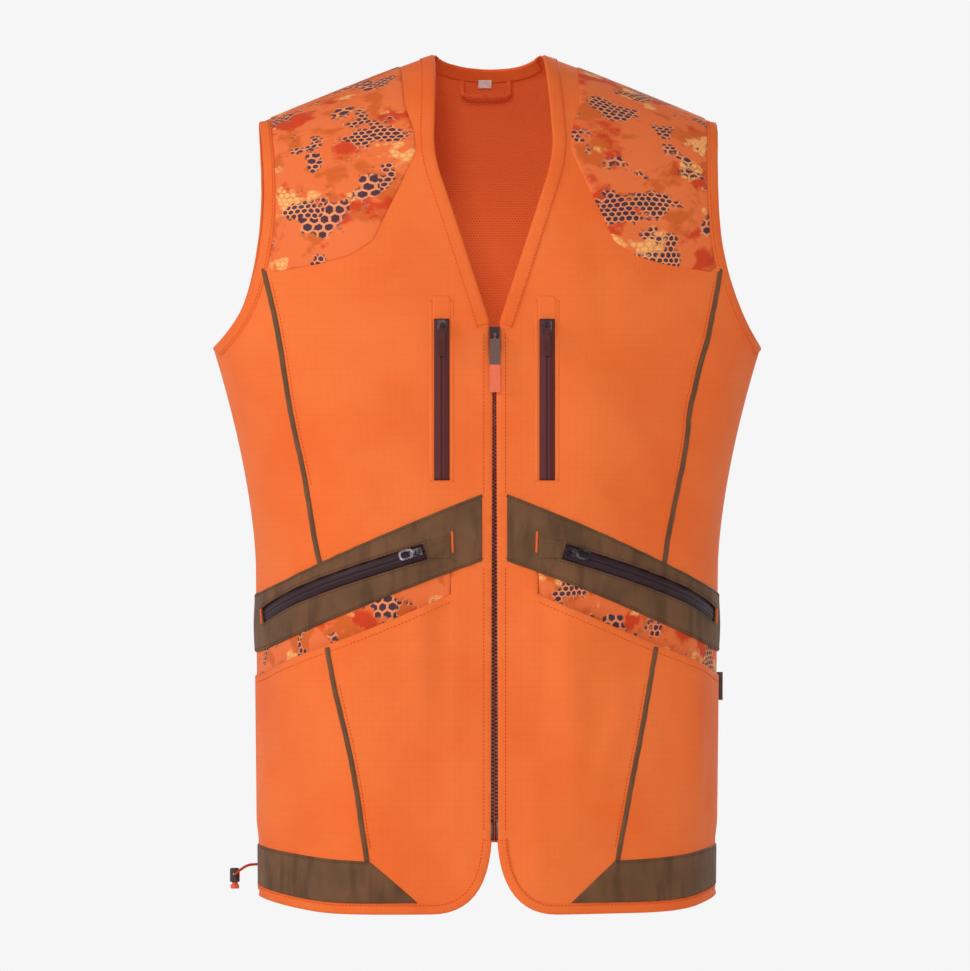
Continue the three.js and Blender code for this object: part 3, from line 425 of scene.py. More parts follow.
def cloth(name, face, side, outline, low, high, materials, spacing=5, lift=None, hole=None, rim=1.3,
          edge_drop=0.6, strip=False, held="hung", rests_on=(), folds=True, cut=True):
    """A piece of cloth cut to an outline, with rounded edges, between two heights off the body in mm."""
    shape = np.array(finer(flat_points(face, finer(outline, 4, True)), spacing, True))
    cut_hole = None if hole is None else np.array(finer(hole, spacing, True))
    flat, tris = triangulated(shape, cut_hole, spacing, rim)
    rim_edges, edge = rim_of(flat, tris)
    s, v = flat[:, 0], flat[:, 1]
    base = surface(face, s, v)
    normal = surface_normal(face, s, v)
    wave = relief(face, side, s, v) if folds else np.zeros(len(s))
    if lift is not None:
        wave = wave + lift(base[:, 0], base[:, 2])
    top = high - np.where(edge, (high - low) * edge_drop, 0)
    outer = base + normal * (wave + top)[:, None]
    inner = base + normal * (wave + low)[:, None]
    count = len(flat)
    points = np.vstack([outer, inner])
    points[:, 0] *= side
    walls = [(b, a, a + count, b + count) for a, b in rim_edges]
    polygons = [tuple(t) for t in np.vstack([tris, tris[:, ::-1] + count]).tolist()] + walls
    lining = 1 if len(materials) > 1 else 0
    indices = [0] * len(tris) + [lining] * len(tris) + [0] * len(walls)
    cloth_map = np.column_stack([s * side, v, np.zeros(count)]) * MM
    obj = new_object(name, to_frame(points), polygons, materials, np.vstack([cloth_map, cloth_map]), indices)
    return obj


def lengths_along(points):
    """How far along a line each of its points is."""
    return np.concatenate([[0], np.cumsum(np.linalg.norm(np.diff(points, axis=0), axis=1))])


def line_on(face, side, line, step, lift=None):
    """Points every step along a line of (s, v), with the outward normal and the offset of the cloth's folds."""
    fine = np.array(finer(line, 1.0))
    length = lengths_along(surface(face, *fine.T))
    at = np.linspace(0, length[-1], max(2, round(length[-1] / step) + 1))
    s, v = np.interp(at, length, fine[:, 0]), np.interp(at, length, fine[:, 1])
    p = surface(face, s, v)
    n = surface_normal(face, s, v)
    wave = relief(face, side, s, v)
    if lift is not None:
        wave = wave + lift(p[:, 0], p[:, 2])
    return p, n, wave


def ribbon(name, face, side, line, profile, materials, step=3, lift=None):
    """A strip swept along a line of (s, v). The profile is a closed loop of (sideways, out of the cloth)."""
    p, n, wave = line_on(face, side, line, step, lift)
    t = unit(np.gradient(p, axis=0))
    b = np.cross(n, t)
    rings = []
    cloth_map = []
    length = lengths_along(p)
    for across, out in profile:
        rings.append(p + b * across + n * (wave + out)[:, None])
        cloth_map.append(np.column_stack([np.full(len(p), across), length, np.zeros(len(p))]) * MM)
    rings, cloth_map = np.stack(rings, 1), np.stack(cloth_map, 1)
    count, size = rings.shape[:2]
    points = rings.reshape(-1, 3)
    points[:, 0] *= side
    faces = []
    for i in range(count - 1):
        for k in range(size):
            a, c = i * size + k, i * size + (k + 1) % size
            faces.append((a, a + size, c + size, c))
    faces += [tuple(range(size)), tuple(range((count - 1) * size, count * size))[::-1]]
    return new_object(name, to_frame(points), faces, materials, cloth_map.reshape(-1, 3))


STITCH_STEP, STITCH_LENGTH, STITCH_RADIUS = 3.3, 2.5, 0.3
STITCH_RISE = 0.15


def stitching(name, rows, materials):
    """Rows of thread stitches. Each row is (face, side, line of (s, v), height off the body, lift)."""
    points, faces = [], []
    for face, side, line, height, lift in rows:
        p, n, wave = line_on(face, side, line, STITCH_STEP, lift)
        t = unit(np.gradient(p, axis=0))
        b = np.cross(n, t)
        p = p + n * (wave + height + STITCH_RISE)[:, None]
        for i in range(len(p)):
            first = len(points)
            half = STITCH_LENGTH / 2
            q = [p[i] - t[i] * half]
            for along in (-0.6 * half, 0.6 * half):
                for c, d in ((1, 0), (0, 1), (-1, 0), (0, -0.4)):
                    q.append(p[i] + t[i] * along + (b[i] * c + n[i] * d) * STITCH_RADIUS)
            q.append(p[i] + t[i] * half)
            points += [(x * side, y, z) for x, y, z in q]
            loops = [(0, 1 + k, 1 + (k + 1) % 4) for k in range(4)]
            loops += [(1 + k, 5 + k, 5 + (k + 1) % 4, 1 + (k + 1) % 4) for k in range(4)]
            loops += [(9, 5 + (k + 1) % 4, 5 + k) for k in range(4)]
            faces += [tuple(first + k for k in (f if side > 0 else f[::-1])) for f in loops]
    return new_object(name, to_frame(points), faces, materials)


# ---- materials ----
def srgb(*levels):
    scaled = [c / 255 for c in levels]
    return (*[c / 12.92 if c <= 0.04045 else ((c + 0.055) / 1.055) ** 2.4 for c in scaled], 1)


FAR = 1000


class Look:
    """A procedural material being built. Its place is the cloth's flat pattern or the object's, in metres."""

    def __init__(self, name, roughness, on_cloth=True, **values):
        self.material = bpy.data.materials.new(name)
        self.material.use_nodes = True
        self.tree = self.material.node_tree
        self.shader = next(n for n in self.tree.nodes if n.type == "BSDF_PRINCIPLED")
        self.shader.inputs["Roughness"].default_value = roughness
        for key, value in values.items():
            self.shader.inputs[key.replace("_", " ")].default_value = value
        if on_cloth:
            attribute = self.tree.nodes.new("ShaderNodeAttribute")
            attribute.attribute_name = "cloth"
            self.place = attribute.outputs["Vector"]
        else:
            self.place = self.tree.nodes.new("ShaderNodeTexCoord").outputs["Object"]

    def feed(self, socket, value):
        if isinstance(value, bpy.types.NodeSocket):
            self.tree.links.new(value, socket)
        else:
            socket.default_value = value

    def math(self, operation, a, b=0.0, c=0.0):
        node = self.tree.nodes.new("ShaderNodeMath")
        node.operation = operation
        for socket, value in zip(node.inputs, (a, b, c)):
            self.feed(socket, value)
        return node.outputs[0]

    def times(self, a, b):
        return self.math("MULTIPLY", a, b)

    def vector(self, operation, a, b=(0, 0, 0)):
        node = self.tree.nodes.new("ShaderNodeVectorMath")
        node.operation = operation
        self.feed(node.inputs[0], a)
        self.feed(node.inputs[1], b)
        return node.outputs["Value" if operation in ("LENGTH", "DOT_PRODUCT") else "Vector"]

    def axis(self, index, vector=None):
        node = self.tree.nodes.new("ShaderNodeSeparateXYZ")
        self.feed(node.inputs[0], vector or self.place)
        return node.outputs[index]

    def noise(self, scale, detail=2, vector=None, rough=0.5, output="Fac"):
        node = self.tree.nodes.new("ShaderNodeTexNoise")
        self.feed(node.inputs["Vector"], vector or self.place)
        node.inputs["Scale"].default_value = scale
        node.inputs["Detail"].default_value = detail
        node.inputs["Roughness"].default_value = rough
        return node.outputs[output]

    def between(self, value, low, high):
        node = self.tree.nodes.new("ShaderNodeMapRange")
        node.interpolation_type = "SMOOTHSTEP"
        self.feed(node.inputs["Value"], value)
        node.inputs["From Min"].default_value = low
        node.inputs["From Max"].default_value = high
        return node.outputs["Result"]

    def mix(self, factor, a, b):
        node = self.tree.nodes.new("ShaderNodeMix")
        node.data_type = "RGBA"
        self.feed(node.inputs[0], factor)
        self.feed(node.inputs[6], a)
        self.feed(node.inputs[7], b)
        return node.outputs[2]

    def colour(self, value):
        self.feed(self.shader.inputs["Base Color"], value)

    def rough(self, value):
        self.feed(self.shader.inputs["Roughness"], value)

    def bump(self, height, distance, strength=1.0):
        node = self.tree.nodes.new("ShaderNodeBump")
        node.inputs["Strength"].default_value = strength
        node.inputs["Distance"].default_value = distance
        self.feed(node.inputs["Height"], height)
        self.feed(self.shader.inputs["Normal"], node.outputs[0])

    def waves(self, value, pitch):
        """A sine along a length, from 0 to 1."""
        turned = self.math("SINE", self.times(value, 2 * math.pi / pitch))
        return self.math("MULTIPLY_ADD", turned, 0.5, 0.5)

    def lines(self, value, pitch, share):
        """1 on thin lines a pitch apart, and 0 between them."""
        folded = self.math("PINGPONG", value, pitch / 2)
        return self.between(folded, pitch * share, 0.0)

    def hexagons(self, place, size):
        """Distance from the middle of a honeycomb cell, 0.5 at its walls."""
        step = (1, math.sqrt(3), 1)
        scaled = self.vector("MULTIPLY", place, (1 / size, 1 / size, 0))
        p = self.vector("ADD", scaled, tuple(FAR * c for c in step))  # so that no coordinate is below 0
        half = tuple(c / 2 for c in step)
        a = self.vector("SUBTRACT", self.vector("MODULO", p, step), half)
        b = self.vector("SUBTRACT", self.vector("MODULO", self.vector("ADD", p, half), step), half)
        nearer = self.math("LESS_THAN", self.vector("LENGTH", b), self.vector("LENGTH", a))
        cell = self.vector("ABSOLUTE", self.mix(nearer, a, b))
        slanted = self.vector("DOT_PRODUCT", cell, (0.5, math.sqrt(3) / 2, 0))
        return self.math("MAXIMUM", slanted, self.axis(0, cell))


CLOTH_SHINE, FILM_SHINE = 0.14, 0.2


WEAVE_PITCH = 0.0011


def woven(look):
    """The height of a plain weave."""
    return look.times(look.waves(look.axis(0), WEAVE_PITCH), look.waves(look.axis(1), WEAVE_PITCH))


def shell_material(name, base, deep, grid=0.0058):
    """Ripstop: a plain weave with a grid of thicker threads."""
    look = Look(name, 0.72, Specular_IOR_Level=CLOTH_SHINE, Sheen_Weight=0.04, Sheen_Roughness=0.4)
    ripstop = look.math("MAXIMUM", look.lines(look.axis(0), grid, 0.07), look.lines(look.axis(1), grid, 0.07))
    cloudy = look.between(look.noise(9, 3), 0.35, 0.7)
    shade = look.mix(look.times(cloudy, 0.55), base, deep)
    look.colour(look.mix(look.times(ripstop, 0.16), shade, deep))
    look.rough(look.math("MULTIPLY_ADD", look.noise(60, 4), 0.22, 0.6))
    height = look.math("ADD", woven(look), look.times(ripstop, 1.4))
    look.bump(look.math("ADD", height, look.times(look.noise(320, 3), 0.8)), 0.00012, 0.5)
    return look.material


def lining_material():
    """Knitted mesh: small staggered holes."""
    look = Look("lining_mesh", 0.85, Specular_IOR_Level=CLOTH_SHINE)
    holes = look.between(look.hexagons(look.place, 0.0026), 0.2, 0.32)
    # Painted light: the lining's orange is made lighter than its own colour, so that the deep inside of the
    # vest reads bright.
    base = look.mix(look.noise(14, 3), srgb(255, 128, 70), srgb(250, 116, 60))
    look.colour(look.mix(holes, srgb(240, 100, 48), base))
    look.bump(holes, 0.0003, 0.6)
    return look.material


def twill_material():
    look = Look("olive_twill", 0.7, Specular_IOR_Level=CLOTH_SHINE, Sheen_Weight=0.06, Sheen_Roughness=0.4)
    slanted = look.math("MULTIPLY_ADD", look.axis(0), 0.8, look.axis(1))
    lines = look.waves(slanted, 0.0014)
    # Tone that differs at random, with its contrast raised to help the painted shade of the panel's puckers.
    mottle_and_pucker_shade = look.between(look.noise(26, 4), 0.3, 0.75)
    base = look.mix(mottle_and_pucker_shade, srgb(122, 84, 57), srgb(102, 71, 48))
    # Soft vertical dark streaks: painted shade of the panel's puckers.
    stretched = look.vector("MULTIPLY", look.place, (1, 0.22, 1))
    pucker_shade = look.between(look.noise(75, 4, stretched), 0.46, 0.66)
    base = look.mix(look.times(pucker_shade, 0.6), base, srgb(82, 56, 38))
    look.colour(look.mix(look.times(lines, 0.25), base, srgb(84, 60, 44)))
    look.rough(look.math("MULTIPLY_ADD", look.noise(70, 3), 0.25, 0.58))
    look.bump(look.math("MULTIPLY_ADD", look.noise(240, 3), 0.6, lines), 0.00016, 0.6)
    return look.material


def camo_material():
    """A print of navy scales in pale outlines over blotches of red, brown and yellow."""
    look = Look("camo_print", 0.72, Specular_IOR_Level=CLOTH_SHINE, Sheen_Weight=0.04)
    warp = look.vector("SUBTRACT", look.noise(26, 3, output="Color"), (0.5, 0.5, 0.5))
    place = look.vector("ADD", look.place, look.vector("MULTIPLY", warp, (0.011, 0.011, 0)))
    small = look.hexagons(place, 0.0052)
    large = look.hexagons(look.vector("ADD", place, (0.0031, 0.0017, 0)), 0.0086)
    scales = look.mix(look.math("GREATER_THAN", look.noise(13, 1), 0.54), small, large)

    def where(scale, low, high, shift, detail=3):
        moved = look.vector("ADD", look.place, (shift, -shift, 0))
        return look.between(look.noise(scale, detail, moved, 0.55), low, high)

    base = look.mix(look.noise(12, 3), srgb(241, 122, 68), srgb(236, 108, 52))
    brown = look.mix(look.times(where(30, 0.52, 0.6, 1.7, 5), 0.75), base, srgb(206, 92, 30))
    red = look.mix(look.times(where(24, 0.55, 0.63, 4.1, 4), 0.85), brown, srgb(208, 54, 22))
    in_scale = look.between(scales, 0.44, 0.36)
    yellow = look.times(where(24, 0.585, 0.63, 7.9), look.math("MULTIPLY_ADD", in_scale, 0.55, 0.4))
    pale = look.mix(yellow, red, srgb(252, 184, 110))
    dark = where(27, 0.53, 0.565, 12.3, 5)
    outlined = look.mix(look.times(dark, 0.6), pale, srgb(246, 165, 118))
    ink = look.times(dark, look.between(scales, 0.405, 0.35))
    specks = look.between(look.noise(170, 5, rough=0.7), 0.6, 0.64)
    near_dark = where(27, 0.49, 0.55, 12.3, 5)
    ink = look.math("MAXIMUM", ink, look.times(specks, near_dark))
    look.colour(look.mix(look.times(ink, 0.93), outlined, srgb(44, 34, 58)))
    look.rough(look.math("MULTIPLY_ADD", look.noise(60, 4), 0.2, 0.62))
    look.bump(look.math("ADD", woven(look), look.noise(320, 3)), 0.00012, 0.5)
    return look.material


def laminate_material(name, base, edge, middle_shade):
    """A laminated water-resistant zip: a smooth film with the coil showing faintly through it."""
    look = Look(name, 0.42, Specular_IOR_Level=FILM_SHINE)
    across = look.math("ABSOLUTE", look.axis(0))
    split = look.between(across, 0.0007, 0.0002)
    coil = look.between(across, 0.0034, 0.0026)
    turns = look.waves(look.axis(1), 0.0016)
    rim = look.between(across, 0.0052, 0.0064)
    shade = look.mix(look.noise(40, 4), base, edge)
    shade = look.mix(look.times(rim, 0.5), shade, edge)
    look.colour(look.mix(split, shade, middle_shade))
    look.rough(look.math("MULTIPLY_ADD", look.noise(90, 3), 0.2, 0.36))
    look.bump(look.times(coil, turns), 0.00018, 0.5)
    return look.material


def speckled(name, base, worn, roughness, scale=500, depth=0.00005, **values):
    """Moulded or painted stuff: fine grain, and a slight change of colour."""
    look = Look(name, roughness, False, **values)
    look.colour(look.mix(look.between(look.noise(scale * 0.3, 4), 0.4, 0.75), base, worn))
    look.rough(look.math("MULTIPLY_ADD", look.noise(scale, 3), 0.25, roughness - 0.12))
    look.bump(look.noise(scale * 2, 3), depth, 0.5)
    return look.material


def main_pull_material():
    """A moulded pull, dark above and orange below, with a ribbed grip."""
    low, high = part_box("main_pull")
    look = Look("main_pull_rubber", 0.6, False)
    z = look.axis(2)
    change = low.z + 0.46 * (high.z - low.z)
    upper = look.between(z, change - 0.0003, change + 0.0003)
    dark = look.mix(look.noise(300, 3), srgb(112, 78, 70), srgb(92, 62, 58))
    bright = look.mix(look.noise(300, 3), srgb(240, 112, 72), srgb(228, 98, 60))
    look.colour(look.mix(upper, bright, dark))
    look.bump(look.waves(z, 0.0022), 0.0002, 0.5)
    return look.material


def thread_material(name, base):
    look = Look(name, 0.7, False, Specular_IOR_Level=CLOTH_SHINE)
    look.colour(look.mix(look.noise(900, 2), base, tuple(c * 0.8 for c in base[:3]) + (1,)))
    look.bump(look.noise(2500, 2), 0.00006, 0.6)
    return look.material


def braid_material():
    look = Look("cord_braid", 0.7, False, Specular_IOR_Level=CLOTH_SHINE)
    rising = look.waves(look.math("ADD", look.axis(2), look.axis(1)), 0.0009)
    falling = look.waves(look.math("SUBTRACT", look.axis(2), look.axis(1)), 0.0009)
    plait = look.times(rising, falling)
    look.colour(look.mix(plait, srgb(176, 50, 24), srgb(232, 92, 52)))
    look.bump(plait, 0.0002, 0.8)
    return look.material


def tape_material():
    look = Look("zip_tape_weave", 0.75, Specular_IOR_Level=CLOTH_SHINE)
    lines = look.waves(look.math("ADD", look.axis(0), look.axis(1)), 0.0012)
    look.colour(look.mix(lines, srgb(40, 26, 28), srgb(62, 40, 42)))
    look.bump(lines, 0.00015, 0.6)
    return look.material


ORANGE = shell_material("orange_ripstop", srgb(243, 118, 56), srgb(236, 96, 34))
TRIM_ORANGE = shell_material("orange_binding", srgb(242, 114, 52), srgb(234, 94, 36), grid=0.0034)
LINING = lining_material()
OLIVE = twill_material()
CAMO = camo_material()
CHEST_LAMINATE = laminate_material("maroon_laminate", srgb(96, 38, 36), srgb(82, 30, 30), srgb(50, 16, 18))
WAIST_LAMINATE = laminate_material("dark_laminate", srgb(58, 36, 42), srgb(46, 28, 34), srgb(22, 12, 16))
TAPE = tape_material()
TEETH = speckled("tooth_plastic", srgb(88, 52, 48), srgb(120, 84, 74), 0.4)
METAL = speckled("slider_lacquer", srgb(44, 34, 36), srgb(92, 80, 78), 0.38, Metallic=0.75)
PULL_DARK = speckled("pull_rubber", srgb(74, 30, 30), srgb(92, 40, 38), 0.55, Specular_IOR_Level=FILM_SHINE)
PULL_MAIN = main_pull_material()
RING = speckled("ring_lacquer", srgb(36, 30, 38), srgb(120, 112, 118), 0.3, Metallic=0.5)
LOCK = speckled("lock_plastic", srgb(48, 38, 36), srgb(66, 52, 48), 0.45)
BUTTON = speckled("button_plastic", srgb(226, 90, 52), srgb(206, 72, 38), 0.45)
THREAD = thread_material("orange_thread", srgb(224, 84, 34))
OLIVE_THREAD = thread_material("olive_thread", srgb(88, 66, 48))
TACK = thread_material("tack_thread", srgb(240, 108, 52))
BRAID = braid_material()
LABEL = speckled("white_satin", srgb(240, 238, 234), srgb(222, 218, 212), 0.5, scale=900)
BROWN_LABEL = speckled("brown_satin", srgb(74, 44, 34), srgb(58, 34, 28), 0.5, scale=900)
LINING_FLAT = speckled("lining_plain", srgb(226, 82, 32), srgb(206, 64, 24), 0.85, scale=700, depth=0.0001)
TRIM_ORANGE_FLAT = speckled("loop_tape", srgb(232, 92, 36), srgb(214, 76, 28), 0.8, scale=700, depth=0.0001)


# ---- camera ----
FRAME_WIDTH = 0.8555  # of the view, at the garment
SENSOR = 36  # mm
CAMERA_AWAY = 6.5
CAMERA_YAW = math.radians(-2.6)
CAMERA_AIM = Vector((-0.0053, -0.06, -0.3665))


def add_camera():
    camera = bpy.data.objects.new("camera", bpy.data.cameras.new("camera"))
    bpy.context.scene.collection.objects.link(camera)
    camera.data.sensor_width = SENSOR
    camera.data.lens = SENSOR * CAMERA_AWAY / FRAME_WIDTH
    camera.data.clip_end = 100
    back = Vector((math.sin(CAMERA_YAW), -math.cos(CAMERA_YAW), 0))
    camera.location = CAMERA_AIM + back * CAMERA_AWAY
    camera.rotation_mode = "QUATERNION"
    camera.rotation_quaternion = (-back).to_track_quat("-Z", "Y")
    bpy.context.scene.camera = camera


add_camera()


# ---- hem cords ----
CORD_R = 1.2
CORD_TURNED = math.radians(45)
CORD_EXIT_Z = 36
CORD_ROUTE = [
    (0, 0, 0), (-4, 0, 0), (-10, -1, -1), (-16.5, -0.5, -5), (-20.5, 4, -8.7), (-21, 9, -9),
    (-21, 16, -9), (-21, 23, -9), (-20.5, 27.5, -11), (-19.5, 30, -16), (-19, 31, -22),
]
CORD_EXITS = {"right": (-1.96, 0.0), "left": (1.5, CORD_TURNED)}  # across the back, and the turn about Z
KNOT_R, KNOT_STRAND_R = 1.7, CORD_R * 0.62


SPLINE_COUNT = 8  # points for each stretch


def spline_through(points):
    """Points of a Catmull-Rom curve through the given ones."""
    p = np.array(points, float)
    p = np.vstack([2 * p[0] - p[1], p, 2 * p[-1] - p[-2]])
    out = []
    for a, b, c, d in zip(p, p[1:], p[2:], p[3:]):
        for t in np.linspace(0, 1, SPLINE_COUNT, endpoint=False):
            bend = (2 * a - 5 * b + 4 * c - d) * t**2 + (3 * b - 3 * c + d - a) * t**3
            out.append(0.5 * (2 * b + (c - a) * t + bend))
    return np.array([*out, p[-2]])


def tube(name, points, radius, material, closed=False):
    curve = bpy.data.curves.new(name, "CURVE")
    curve.dimensions = "3D"
    curve.bevel_depth = radius
    curve.bevel_resolution = 3
    curve.use_fill_caps = True
    spline = curve.splines.new("POLY")
    spline.points.add(len(points) - 1)
    for point, place in zip(spline.points, points):
        point.co = (*place, 1)
    spline.use_cyclic_u = closed
    spline.use_smooth = True
    curve.materials.append(material)
    obj = bpy.data.objects.new(name, curve)
    bpy.context.scene.collection.objects.link(obj)
    return obj


def hem_cord(side):
    across, turn = CORD_EXITS[side]
    s = math.copysign(BACK["flat"] + BACK["radius"] * (abs(across) - 1) * math.pi / 2, across)
    s, v = np.array([s]), np.array([float(CORD_EXIT_Z)])
    start = (surface(BACK, s, v) + surface_normal(BACK, s, v) * (SHELL + GAP))[0]
    mirror = -1 if side == "left" else 1
    turned = np.array([[math.cos(turn), -math.sin(turn), 0], [math.sin(turn), math.cos(turn), 0], [0, 0, 1]])

    def placed(points):
        return to_frame((np.asarray(points, float) * (mirror, 1, 1)) @ turned.T + start)

    route = placed(spline_through(CORD_ROUTE))
    cord = tube(f"hem_cord_{side}_braid", route, CORD_R * MM, BRAID)
    around = np.linspace(0, 2 * math.pi, 60, endpoint=False)
    trefoil = np.stack([
        np.sin(around) + 2 * np.sin(2 * around), np.cos(around) - 2 * np.cos(2 * around), -np.sin(3 * around),
    ], 1) * (KNOT_R / 3)
    knot = tube(f"hem_cord_{side}_knot", placed(trefoil + CORD_ROUTE[-1]), KNOT_STRAND_R * MM, BRAID, True)
    for piece in (cord, knot):
        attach(piece, "back")
    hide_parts(f"hem_cord_{side}")


# ---- helpers for the garment's pieces ----
SIDES = {"left": 1, "right": -1}
BINDING_LOW, BINDING_DROP = -0.6, 0.26


def moving(obj, side, slot, *nodes, ride=None):
    """The piece stays where it is built, or rides on one body."""
    if ride:
        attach(obj, ride)
    else:
        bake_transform(obj)
    if nodes:
        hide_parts(*[f"{n}_{side}" if side else n for n in nodes])
    return obj


def sewn(name, face, side, outline, low, high, materials, slot, *nodes, ride=None, **how):
    """Cloth cut to an outline, and put on its body if it rides on one. side is None for a piece on neither
    side.
    """
    obj = cloth(name, face, SIDES.get(side, 1), outline, low, high, materials, **how)
    return moving(obj, side, slot, *nodes, ride=ride)


def binding(name, face, side, outline, under, *nodes, high=TRIM_OUT, ride=None):
    """A narrow folded band laid over an edge."""
    sewn(name, face, side, outline, BINDING_LOW, high, [TRIM_ORANGE], "orange_shell", *nodes, ride=ride,
         spacing=4, strip=True, edge_drop=BINDING_DROP, held="laid", rests_on=[under])


def swept(name, face, side, line, profile, material, slot, *nodes, ride=None, **how):
    """A ribbon, put on its body if it rides on one."""
    obj = ribbon(name, face, SIDES.get(side, 1), line, profile, [material], **how)
    return moving(obj, side, slot, *nodes, ride=ride)


def on_front(line):
    return [tuple(p) for p in flat_points(FRONT, finer(line, 3))]


def on_back(line):
    return [tuple(p) for p in flat_points(BACK, finer(line, 3))]


# ---- the shell ----
def front_shell(side):
    pocket_gap = [p for p in waist_line if p[0] > MOUTH_INNER[0]]
    inner_top = (MOUTH_INNER[0], height_on(waist_line, MOUTH_INNER[0]))
    mouth_end = (float(half_width(MOUTH_SIDE[1])), MOUTH_SIDE[1])
    outline = [
        *front_hem, *placket, *neckline, *ridge_line[1:], *armhole[1:],
        *side_line(UNDERARM_Z - 4, waist_line[-1][1] + 4), *pocket_gap[::-1], inner_top,
        *mouth_line[:-1], mouth_end, *side_line(MOUTH_SIDE[1] - 4, HEM_SIDE_RISE + 4),
    ]
    sewn(f"front_shell_{side}", FRONT, side, outline, 0, SHELL, [ORANGE, LINING], "orange_shell",
         "shoulder_panel", "front_upper_centre", "front_upper_side", "front_lower_centre", "front_lower_side",
         lift=pocket_lift, rests_on=["back_panel"])


def back_hem_height(x):
    return BACK_HEM_RISE - 86 * (x / 300) ** 2


back_hem = [(x, back_hem_height(x)) for x in np.linspace(HALF_HEM, -HALF_HEM, 40)]
back_neck = bezier((-48, 759), (-40.5, 741), (40.5, 741), (48, 759), count=24)[1:-1]
back_neck = [p for p in back_neck if p[1] < ridge_height(p[0])]


def mirrored(points):
    return [(-x, z) for x, z in points][::-1]


def back_shell():
    ridge = [(x, float(ridge_height(x))) for x in np.linspace(back_neck[-1][0] + 1, SHOULDER_HALF, 24)]
    right = [*ridge, *armhole[1:], *side_line(UNDERARM_Z - 4, back_hem[0][1] + 4)]
    outline = [*back_hem, *mirrored(right), *back_neck, *right]
    sewn("back_shell", BACK, None, outline, 0, SHELL, [ORANGE, LINING], "orange_shell", "back_panel",
         ride="back", rests_on=["shoulder_panel_left"])


YOKE_Z = 604


def back_trims():
    binding("back_hem_binding", BACK, None, band(back_hem, 0.8, -HEM_BAND), "back_shell", "back_hem_band",
            ride="back")
    sewn("back_neck_facing", BACK, None, band(back_neck, -0.2, -10), -1.5, -GAP, [TRIM_ORANGE], "lining",
         "back_neck_band", ride="back", spacing=4, strip=True, held="laid", rests_on=["back_shell"])
    sewn("size_label", BACK, None, [(-6, 731.5), (6, 731.5), (6, 738.5), (-6, 738.5)], -2.5, -2.0, [LABEL],
         "white_label", "neck_label", ride="back", spacing=2, rim=0.5, folds=False, cut=False)
    yoke = [(x, YOKE_Z + rise) for x, rise in ((-196, -6), (-100, 3), (0, 6), (100, 3), (196, -6))]
    ridge = [(-1.6, 0.9), (1.6, 0.9), (1.2, 2.0), (0, 2.2), (-1.2, 2.0)]
    swept("back_yoke_seam", BACK, None, on_back(yoke), ridge, ORANGE, "orange_shell", ride="back")


def shoulder_trims(side):
    shell = f"front_shell_{side}"
    round_arm = band(armhole, 0.8, -ARM_BAND)
    binding(f"armhole_binding_{side}_front", FRONT, side, round_arm, shell, "armhole_binding")
    binding(f"armhole_binding_{side}_back", BACK, side, round_arm, "back_shell", ride="back")
    binding(f"neck_facing_{side}", FRONT, side, band(neckline, 0.6, -NECK_BAND), shell, "neck_binding",
            high=TRIM_OUT - 0.3)
    edge = [p for p in shifted(armhole, -ARM_BAND - 0.4) if p[1] > 562]
    top = [(x, float(ridge_height(x))) for x in np.linspace(edge[0][0], 78.5, 16)]
    inner = [(77, 709), (69, 683), (67.5, 667), (81, 637), (94, 611), (105, 587)]
    inner += [(124, 574), (150, 567), (190, 561)]
    sewn(f"camo_patch_{side}", FRONT, side, [*top, *inner, *edge[::-1][:-1]], SHELL, TRIM_OUT - 0.2, [CAMO],
         "camo", "camo_shoulder_patch", held="laid", rests_on=[shell])


PIPE = [(-2.7, 1.2), (2.7, 1.2), (2.6, 2.1), (1.6, 3.0), (0, 3.3), (-1.6, 3.0), (-2.6, 2.1)]


def pipings(side):
    fine_seam = [tuple(p) for p in finer([(SHOULDER_HALF - 2.2, 563.5), *seam], 2)]
    upper = [p for p in fine_seam if p[1] > height_on(panel_top, p[0]) - 3]
    swept(f"upper_piping_{side}_cord", FRONT, side, on_front(upper), PIPE, OLIVE, "olive_twill", "upper_piping")
    lower = [p for p in fine_seam if 44 < p[1] < mouth_height(p[0]) - 1.5]
    swept(f"lower_piping_{side}_cord", FRONT, side, on_front(lower), [(a * 0.85, b) for a, b in PIPE], OLIVE,
          "olive_twill", "lower_piping", ride=f"front_{side}", lift=pocket_lift)


def hem_trims(side):
    shell, body = f"front_shell_{side}", f"front_{side}"
    top = bezier((107, 45.5), (150, 46.5), (182, 49.5), (float(half_width(55)), 55))
    foot = bezier((float(half_width(18.8)), 18.8), (180, 11.7), (160, 8.9), (120, 8.9))
    corner = [*top, *foot, (67, 9.3)]
    sewn(f"hem_corner_{side}", FRONT, side, corner, SHELL, TRIM_OUT, [OLIVE], "olive_twill", "hem_corner_panel",
         ride=body, spacing=4, held="laid", rests_on=[shell])
    binding(f"front_hem_binding_{side}", FRONT, side, band(front_hem, 0.8, -HEM_BAND), shell, "front_hem_band",
            ride=body)


# ---- waist and cargo pockets ----
PUCKERS, RIPPLE = 1.7, 0.8
GARAGE = (38, 58)
BAG_LOW = -1.0
TACK_X = 36.5


def panel_puckers(x, z):
    """The stiff panel ripples across its length, and creases where its zip garage pulls at it."""
    ripple = 0.5 + 0.5 * np.sin(x / 3.4 + 1.1 * np.sin(z / 14) + 1.4 * np.sin(x / 21))
    uneven = 0.35 + 0.65 * (0.5 + 0.5 * np.sin(x / 17 + z / 12))
    garage = np.exp(-(((x - 50) / 13) ** 2)) * smooth(290, 300, z) * smooth(350, 334, z)
    creases = 0.5 + 0.5 * np.sin(z / 1.75 + 1.6 * np.sin(x / 7.5) + x / 19)
    return PUCKERS * (RIPPLE * ripple * uneven * (1 - garage) + creases * garage)


def tack_lift(x, z):
    """A bar tack lies on the panel, and its threads make ridges across it."""
    return panel_puckers(x, z) + 0.25 * np.sin(z / 0.2)


